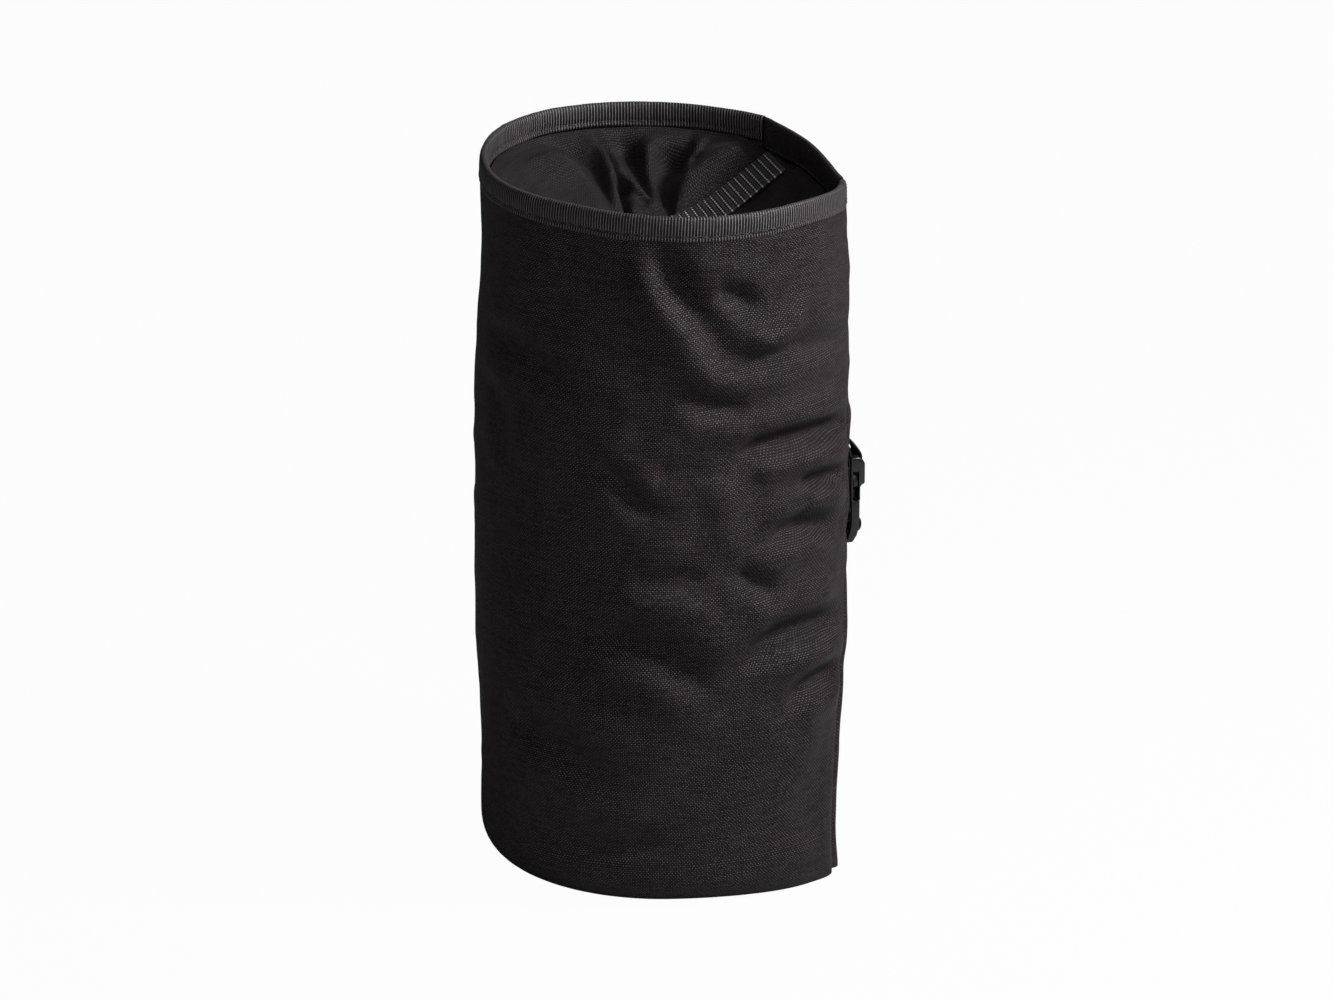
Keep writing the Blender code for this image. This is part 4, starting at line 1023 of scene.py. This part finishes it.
def makeCollar():
    edge = collarEdge(collar["columns"])
    angle = np.degrees(np.arctan2(edge[:, 1], edge[:, 0]))
    share = np.linspace(0, 1, collar["rows"])[:, None]
    neck = collar["neckRadius"]
    end = np.stack([neck * np.cos(np.radians(angle)), neck * np.sin(np.radians(angle)),
                    np.full_like(angle, collar["neckHeight"])], 1)
    grid = edge[None] + (end - edge)[None] * share[..., None]
    grid[..., 2] -= collar["sag"] * np.sin(math.pi * share)
    reach = np.hypot(grid[..., 0], grid[..., 1])
    lift = collarLift(angle[None, :], share, reach)
    slope = np.radians(31)
    a = np.radians(angle)
    up = np.stack([-np.sin(slope) * np.cos(a), -np.sin(slope) * np.sin(a), np.full_like(a, math.cos(slope))], 1)
    grid += up[None] * lift[..., None]
    # the cloth lies under the ribbed webbing
    route = evenly(curveThrough(ropeStrap["route"], 0.004), 0.002)
    gap = np.hypot(grid[..., 0, None] - route[:, 0], grid[..., 1, None] - route[:, 1])
    nearest = gap.argmin(-1)
    dist = gap.min(-1)
    across = np.array(ropeStrap["across"])
    limit = (route[nearest, 2] + (grid[..., 0] - route[nearest, 0]) * across[2] / across[0]
             - ropeStrap["thick"] / 2 - collar["thick"] - 0.0010)
    limit += 0.9 * np.clip(dist - 0.0135, 0, None)
    over = np.clip(grid[..., 2] - limit, 0, None) * smoothstep((0.034 - dist) / 0.020)
    grid[..., 2] -= over
    middle = collar["rows"] // 3
    ringLong = alongOf(grid[middle][np.r_[0:len(edge), 0]])
    obj = gridMesh("funnel_collar", grid, ringLong, alongOf(grid[:, 40]), collarFinish, wrapCols=True)
    thicken(obj, collar["thick"])
    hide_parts("collar")
    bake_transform(obj)
    return obj


def makeRopeStrap():
    route = evenly(curveThrough(ropeStrap["route"], 0.004), 0.00033)
    along = alongOf(route)
    half = ropeStrap["wide"] / 2
    xs = np.linspace(-half, half, 45)
    phase = (along / ropeStrap["pitch"]) % 1.0
    bar = smoothstep((phase - 0.10) / 0.07) * smoothstep((0.62 - phase) / 0.07)
    dots = bell((phase - 0.80) / 0.085)
    inner = smoothstep((half - 0.0012 - np.abs(xs)) / 0.0006)
    edge = 1 - inner
    beads = np.abs(np.sin(math.pi * xs / 0.0025)) ** 0.8
    fine = np.abs(np.sin(math.pi * along / 0.0008)) ** 0.8
    top = (bar[:, None] * (0.00085 - 0.00010 * np.cos(xs * math.pi / half)) * inner
           + dots[:, None] * beads * 0.00055 * inner + edge * (0.0002 + 0.0003 * fine[:, None])
           + 0.00006 * np.sin(xs / 0.00028) * inner)
    rim = ropeStrap["thick"] / 2
    upper = np.stack([np.broadcast_to(xs, top.shape), rim * 0.4 + top], -1)
    lower = np.stack([np.broadcast_to(xs[::-1], top.shape), np.full(top.shape, -rim)
                      - 0.6 * top[:, ::-1] * (np.abs(xs[::-1]) < half)], -1)
    sections = np.concatenate([upper, lower], 1)
    strap = sweep("rope_end_webbing", route, ropeStrap["across"], sections, ribbedFinish)
    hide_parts("rope_end_strap")
    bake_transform(strap)
    return strap


makeCollar()
makeRopeStrap()
print("collar and ribbed webbing made")


# the tunnel at the neck, its cord, and the cord lock
neck = {
    "radius": 0.0240,
    "tunnel": 0.0040,
    "height": 0.3700,
    "exit": math.radians(-35),
    "exitHalf": math.radians(30),
    "lockReach": 0.0480,
    "lockHeight": 0.3960,
    "cord": 0.0015,
    "gathers": 38,
    "lockFloor": -0.0079,      # along the lock's own axis, as are the spring's ends
    "springFoot": -0.0073,
    "springHead": -0.0044,
    "springRadius": 0.0034,
    "springWire": 0.00025,
    "springTurns": 3,
    "cordRun": 0.0105,         # straight cord on each side of the lock
    "cordApart": 0.0018,       # each cord above or below the other's level
}


def makeCasing():
    start = neck["exit"] + neck["exitHalf"]
    angle = np.linspace(start, start + 2 * math.pi - 2 * neck["exitHalf"], 380)
    bend = np.radians(np.linspace(-20, 340, 26))
    wave = np.sin(neck["gathers"] * angle + 1.1 * np.sin(5 * angle))
    rows = []
    for turn in bend:
        radius = neck["tunnel"] * (1 + 0.16 * wave + 0.05 * np.sin(3 * turn + 9 * angle))
        reach = neck["radius"] + radius * math.cos(turn)
        rows.append(np.stack([reach * np.cos(angle), reach * np.sin(angle), neck["height"] + radius * math.sin(turn)
                              - 0.0004 * wave], 1))
    grid = np.stack(rows, 1)
    tube = gridMesh("neck_tunnel", grid[:, ::-1], np.linspace(0, 0.025, len(bend)), alongOf(grid[:, 0]),
                    collarFinish)
    thicken(tube, 0.0007)
    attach(tube, "collar_hem")
    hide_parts("collar_casing")
    path = np.stack([(neck["radius"] + 0.0046) * np.cos(angle), (neck["radius"] + 0.0046) * np.sin(angle),
                     neck["height"] + 0.0006 + 0 * angle], 1)
    outward = path * np.array((1, 1, 0))
    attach(stitchRow("tunnel_stitches", path, outward, 0.0026, 0.0009, stitchFinish, 0.00026), "collar_hem")


def cordRoute():
    out = np.array((math.cos(neck["exit"]), math.sin(neck["exit"]), 0.0))
    up = np.array((0.0, 0.0, 1.0))
    beside = np.array((-math.sin(neck["exit"]), math.cos(neck["exit"]), 0.0))

    def endRun(sign):
        lift = neck["lockHeight"] + sign * neck["cordApart"]
        angle = neck["exit"] + sign * neck["exitHalf"] * 0.5
        spot = np.array((math.cos(angle), math.sin(angle), 0.0)) * (neck["radius"] + 0.0012)
        return [out * (neck["lockReach"] + neck["cordRun"]) + up * lift, out * neck["lockReach"] + up * lift,
                out * (neck["lockReach"] - neck["cordRun"]) + up * (lift - 0.0020),
                out * (neck["radius"] + 0.0075) + up * (neck["height"] + 0.0110 + sign * 0.0028)
                + beside * sign * 0.0012, spot + up * (neck["height"] + 0.0018)]

    half = neck["exitHalf"] * 0.87
    angles = np.linspace(neck["exit"] + half, neck["exit"] + 2 * math.pi - half, 26)
    ring = [np.array((neck["radius"] * math.cos(a), neck["radius"] * math.sin(a), neck["height"])) for a in angles]
    return evenly(curveThrough(endRun(1) + ring + endRun(-1)[::-1], 0.003), 0.0006)


def tube(name, path, radius, material, sides=14):
    # a round cord along the path, its frame carried along without twisting
    ahead = unit(np.gradient(path, axis=0))
    side = np.zeros_like(path)
    side[0] = unit(np.cross(ahead[0], (0.31, 0.17, 0.93)))
    for k in range(1, len(path)):
        kept = side[k - 1] - ahead[k] * np.dot(side[k - 1], ahead[k])
        side[k] = kept / np.linalg.norm(kept)
    return sweep(name, path, side, roundSection(radius, sides), material)


def makeCord():
    route = cordRoute()
    cord = tube("neck_cord", route, neck["cord"], cordFinish)
    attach(cord, "collar_hem")
    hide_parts("drawcord")
    out = np.array((math.cos(neck["exit"]), math.sin(neck["exit"]), 0.0))
    middle = out * (neck["lockReach"] + 0.0150) + np.array((0, 0, neck["lockHeight"]))
    t = np.linspace(0.35, 2 * math.pi - 0.35, 170)
    size = 0.00098
    flat = np.stack([np.sin(t) + 2 * np.sin(2 * t), np.cos(t) - 2 * np.cos(2 * t), -1.5 * np.sin(3 * t)], 1) * size
    turn = np.array(Matrix.Rotation(neck["exit"], 3, "Z") @ Matrix.Rotation(math.pi / 2, 3, "Y"))
    knot = tube("neck_cord_knot", flat @ turn.T + middle, 0.00145, cordFinish)
    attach(knot, "collar_hem")
    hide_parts("drawcord_knot")


def makeSpring():
    # the wire spring between the lock's floor and its button
    place = (Matrix.Translation((neck["lockReach"] * math.cos(neck["exit"]),
                                 neck["lockReach"] * math.sin(neck["exit"]), neck["lockHeight"]))
             @ Matrix.Rotation(neck["exit"], 4, "Z") @ Matrix.Rotation(math.radians(90), 4, "X"))
    turn = np.linspace(0, 2 * math.pi * neck["springTurns"], 150)
    height = np.linspace(neck["springFoot"], neck["springHead"], len(turn))
    reach = neck["springRadius"]
    path = np.array([place @ Vector((reach * math.cos(a), reach * math.sin(a), h)) for a, h in zip(turn, height)])
    spring = tube("lock_spring", path, neck["springWire"], steelFinish, 8)
    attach(spring, "collar_hem")
    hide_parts("cord_lock_spring")
    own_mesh(spring)


def rounded(name, node, width, body):
    # the frame's own solid, cleaned of its inner edges and with its sharp edges rounded
    mesh = nodes[node].data.copy()
    work = bmesh.new()
    work.from_mesh(mesh)
    bmesh.ops.remove_doubles(work, verts=work.verts, dist=0.00001)
    bmesh.ops.dissolve_limit(work, angle_limit=math.radians(2), verts=work.verts, edges=work.edges)
    work.to_mesh(mesh)
    work.free()
    mesh.materials.clear()
    mesh.materials.append(plasticFinish)
    obj = bpy.data.objects.new(name, mesh)
    bpy.context.scene.collection.objects.link(obj)
    bevel = obj.modifiers.new("rounded edges", "BEVEL")
    bevel.width = width
    bevel.segments = 3
    bevel.limit_method = "ANGLE"
    bevel.angle_limit = math.radians(28)
    bevel.harden_normals = False
    applied(obj)
    obj.data.shade_smooth()
    obj.data.set_sharp_from_angle(angle=math.radians(38))
    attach(obj, body)
    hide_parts(node)
    return obj


def makeHardware():
    for name, node, width, body in (
            ("lock_barrel", "cord_lock_barrel", 0.00035, "collar_hem"),
            ("lock_button", "cord_lock_plunger", 0.00035, "cord_lock_button"),
            ("buckle_housing", "buckle_socket", 0.00045, "bag"),
            ("buckle_ladder", "buckle_plug", 0.00050, "plug"),
            ("prong_left_side", "prong_left", 0.00040, "left_prong"),
            ("prong_right_side", "prong_right", 0.00040, "right_prong")):
        rounded(name, node, width, body)
    for node in ("cord_eyelet_left", "cord_eyelet_right"):
        materials = nodes[node].data.materials
        if not len(materials):
            materials.append(steelFinish)
        for slot in nodes[node].material_slots:
            slot.link = "OBJECT"
            slot.material = steelFinish


makeCasing()
makeCord()
makeSpring()
makeHardware()
print("cord, lock and buckle made")


# the strap on the back, in two lengths, and the patches over its sewn ends
backStrap = {
    "wide": 0.0200,
    "thick": 0.0014,
    "off": 0.0012,
    "ribPitch": 0.0015,
    "ribHigh": 0.00010,
    "patchHalf": 0.018,
    "patchPoints": 60,         # along each side of a patch's mesh
}


def panelY(z):
    return float(np.interp(z, bag["planZ"], bag["backY"]))


def webbingSections(along, wide, thick, pitch, high):
    half = wide / 2
    xs = np.linspace(-half, half, 17)
    edge = np.sqrt(np.clip(1 - (np.abs(xs) / half) ** 10, 0, 1))
    ribs = np.abs(np.sin(math.pi * along / pitch))[:, None] ** 0.8 * high
    weave = 1 + 0.5 * np.sin(xs / 0.0007)
    up = (thick / 2 + ribs * weave) * (0.35 + 0.65 * edge)
    upper = np.stack([np.broadcast_to(xs, up.shape), up], -1)
    lower = np.stack([np.broadcast_to(xs[::-1], up.shape), -up[:, ::-1]], -1)
    return np.concatenate([upper, lower], 1)


def makeWebbing(name, line):
    points = [(0.0, y, z) for y, z in line]
    route = evenly(curveThrough(points, 0.0015), 0.00038)
    sections = webbingSections(alongOf(route), backStrap["wide"], backStrap["thick"], backStrap["ribPitch"],
                               backStrap["ribHigh"])
    return sweep(name, route, (1.0, 0.0, 0.0), sections, strapFinish)


def makeBackStraps():
    off = backStrap["off"]
    upper = [(panelY(z) + off, z) for z in np.linspace(0.334, 0.254, 9)]
    upper += [(0.1150, 0.2430), (0.1151, 0.2368), (0.1163, 0.2350), (0.1207, 0.2350), (0.1221, 0.2366),
              (0.1221, 0.2405), (0.1175, 0.2475), (panelY(0.2555) + off + 0.0022, 0.2555)]
    upper += [(panelY(z) + off + 0.0019, z) for z in (0.262, 0.270, 0.280)]
    strap = makeWebbing("back_strap_upper", upper)
    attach(strap, "bag")
    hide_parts("upper_strap")
    lower = [(panelY(z) + off, z) for z in np.linspace(0.112, 0.176, 7)]
    lower += [(0.1083, 0.1830), (0.1090, 0.1880), (0.1102, 0.1925), (0.1122, 0.1975), (0.1142, 0.1999),
              (0.1165, 0.2004), (0.1203, 0.2003), (0.1218, 0.1988), (0.1222, 0.1958), (0.1212, 0.1928),
              (0.1185, 0.1918), (0.1150, 0.1916), (0.1131, 0.1912), (0.1119, 0.1898), (0.1112, 0.1878),
              (0.1104, 0.1852), (0.1101, 0.1815), (0.1100, 0.1720), (0.1095, 0.1600), (0.1090, 0.1480)]
    strap = makeWebbing("back_strap_lower", lower)
    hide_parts("lower_strap")
    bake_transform(strap)


def makePatches():
    for name, low, high in (("upper", 0.302, 0.340), ("lower", 0.106, 0.140)):
        half, count = backStrap["patchHalf"], backStrap["patchPoints"]
        xs, zs = np.linspace(-half, half, count), np.linspace(low, high, count)
        x, z = np.meshgrid(xs, zs)
        rim = np.minimum(half - np.abs(x), np.minimum(z - low, high - z))
        strapUnder = smoothstep((0.0118 - np.abs(x)) / 0.0025)
        panel = np.interp(z, bag["planZ"], bag["backY"])
        seamX, seamY = planAt(z)[2:4]
        bow = seamY + (panel - seamY) * (1 - (x / seamX) ** 2)
        proud = 0.0014 + 0.0018 * strapUnder + 0.0006 * smoothstep(rim / 0.0022)
        sunk = 0.00045 * bell((rim - 0.0026) / 0.0007)
        lumps = 0.00025 * softNoise(x + 1, z + 1, 0.006, 51)
        grid = np.stack([x, bow + proud - sunk + lumps, z], -1)
        patch = gridMesh(f"strap_patch_{name}", grid, xs, zs, clothFinish)
        thicken(patch, 0.0010, 1.0)
        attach(patch, "bag")
        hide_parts(f"{name}_strap_patch")

        def onPatch(a, b):
            t = np.linspace(0, 1, 90)
            px, pz = a[0] + (b[0] - a[0]) * t, a[1] + (b[1] - a[1]) * t
            i = np.clip(np.round((px + half) / (2 * half) * (count - 1)).astype(int), 0, count - 1)
            j = np.clip(np.round((pz - low) / (high - low) * (count - 1)).astype(int), 0, count - 1)
            return np.stack([px, grid[j, i, 1] + 0.0002, pz], 1)

        # a box of stitches near the edge, a smaller one inside it and a cross in that
        corners = []
        for across, inset in ((0.0154, 0.0026), (0.0085, 0.0060)):
            foot, head = low + inset, high - inset
            box = [(-across, foot), (across, foot), (across, head), (-across, head)]
            corners += list(zip(box, box[1:] + box[:1]))
        corners += [(box[0], box[2]), (box[1], box[3])]
        for k, (a, c) in enumerate(corners):
            path = onPatch(a, c)
            normals = np.broadcast_to((0.0, 1.0, 0.0), path.shape)
            row = stitchRow(f"patch_{name}_stitches_{k}", path, normals, 0.0026, 0.0008, paleStitchFinish)
            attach(row, "bag")


makeBackStraps()
makePatches()
print("back strap made")

# a plain floor, the lights and the camera
studio = {
    "azimuth": 72.0,
    "elevation": 19.5,
    "distance": 5.0,
    "lens": 225.0,
    "target": (0.00056, 0.00171, 0.2215),
    "floor": (0.42, 0.42, 0.42),
    "glow": 0.97,
    "backdrop": 1.0,
    "fill": 0.026,
}


def makeStudio():
    scene = bpy.context.scene
    scene.view_settings.view_transform = "Standard"
    az, el = math.radians(studio["azimuth"]), math.radians(studio["elevation"])
    toCamera = Vector((math.sin(az) * math.cos(el), -math.cos(az) * math.cos(el), math.sin(el)))
    target = Vector(studio["target"])
    camera = bpy.data.objects.new("camera", bpy.data.cameras.new("camera"))
    camera.data.lens = studio["lens"]
    camera.data.sensor_width = 36.0
    camera.location = target + toCamera * studio["distance"]
    camera.rotation_euler = (-toCamera).to_track_quat("-Z", "Y").to_euler()
    scene.collection.objects.link(camera)
    scene.camera = camera

    world = bpy.data.worlds.new("soft white studio")
    world.use_nodes = True
    scene.world = world
    tree = world.node_tree
    shown = tree.nodes["Background"]
    shown.inputs[0].default_value = (1.0, 1.0, 1.0, 1.0)
    shown.inputs[1].default_value = studio["backdrop"]
    lit = addNode(tree, "ShaderNodeBackground")
    lit.inputs[0].default_value = (1.0, 1.0, 1.0, 1.0)
    lit.inputs[1].default_value = studio["fill"]
    path = addNode(tree, "ShaderNodeLightPath")
    mix = addNode(tree, "ShaderNodeMixShader")
    tree.links.new(path.outputs["Is Camera Ray"], mix.inputs[0])
    tree.links.new(lit.outputs[0], mix.inputs[1])
    tree.links.new(shown.outputs[0], mix.inputs[2])
    tree.links.new(mix.outputs[0], tree.nodes["World Output"].inputs[0])

    for name, place, size, power in (
        ("key", (0.70, 0.95, 1.30), 0.45, 30.0),
        ("top", (0.35, 0.30, 2.30), 1.0, 5.0),
        ("front", (2.2, -0.5, 1.5), 1.2, 18.0),
    ):
        lamp = bpy.data.lights.new(name, "AREA")
        lamp.size = size
        lamp.energy = power
        obj = bpy.data.objects.new(name + "_light", lamp)
        obj.location = place
        obj.rotation_euler = (Vector((0, 0, 0.25)) - Vector(place)).to_track_quat("-Z", "Y").to_euler()
        scene.collection.objects.link(obj)

    material, tree, shader = startMaterial("pale floor", 0.9)
    shader.inputs["Base Color"].default_value = (*studio["floor"], 1.0)
    glow = addNode(tree, "ShaderNodeEmission")
    glow.inputs[0].default_value = (1.0, 1.0, 1.0, 1.0)
    seen = addNode(tree, "ShaderNodeLightPath")
    both = addNode(tree, "ShaderNodeMixShader")
    tree.links.new(calc(tree, "MULTIPLY", seen.outputs["Is Camera Ray"], studio["glow"]), both.inputs[0])
    tree.links.new(shader.outputs[0], both.inputs[1])
    tree.links.new(glow.outputs[0], both.inputs[2])
    tree.links.new(both.outputs[0], tree.nodes["Material Output"].inputs[0])
    floor = gridMesh("floor", np.array([[(-30, -30, -0.0004), (30, -30, -0.0004)],
                                        [(-30, 30, -0.0004), (30, 30, -0.0004)]], float),
                     (0, 60), (0, 60), material)


makeStudio()
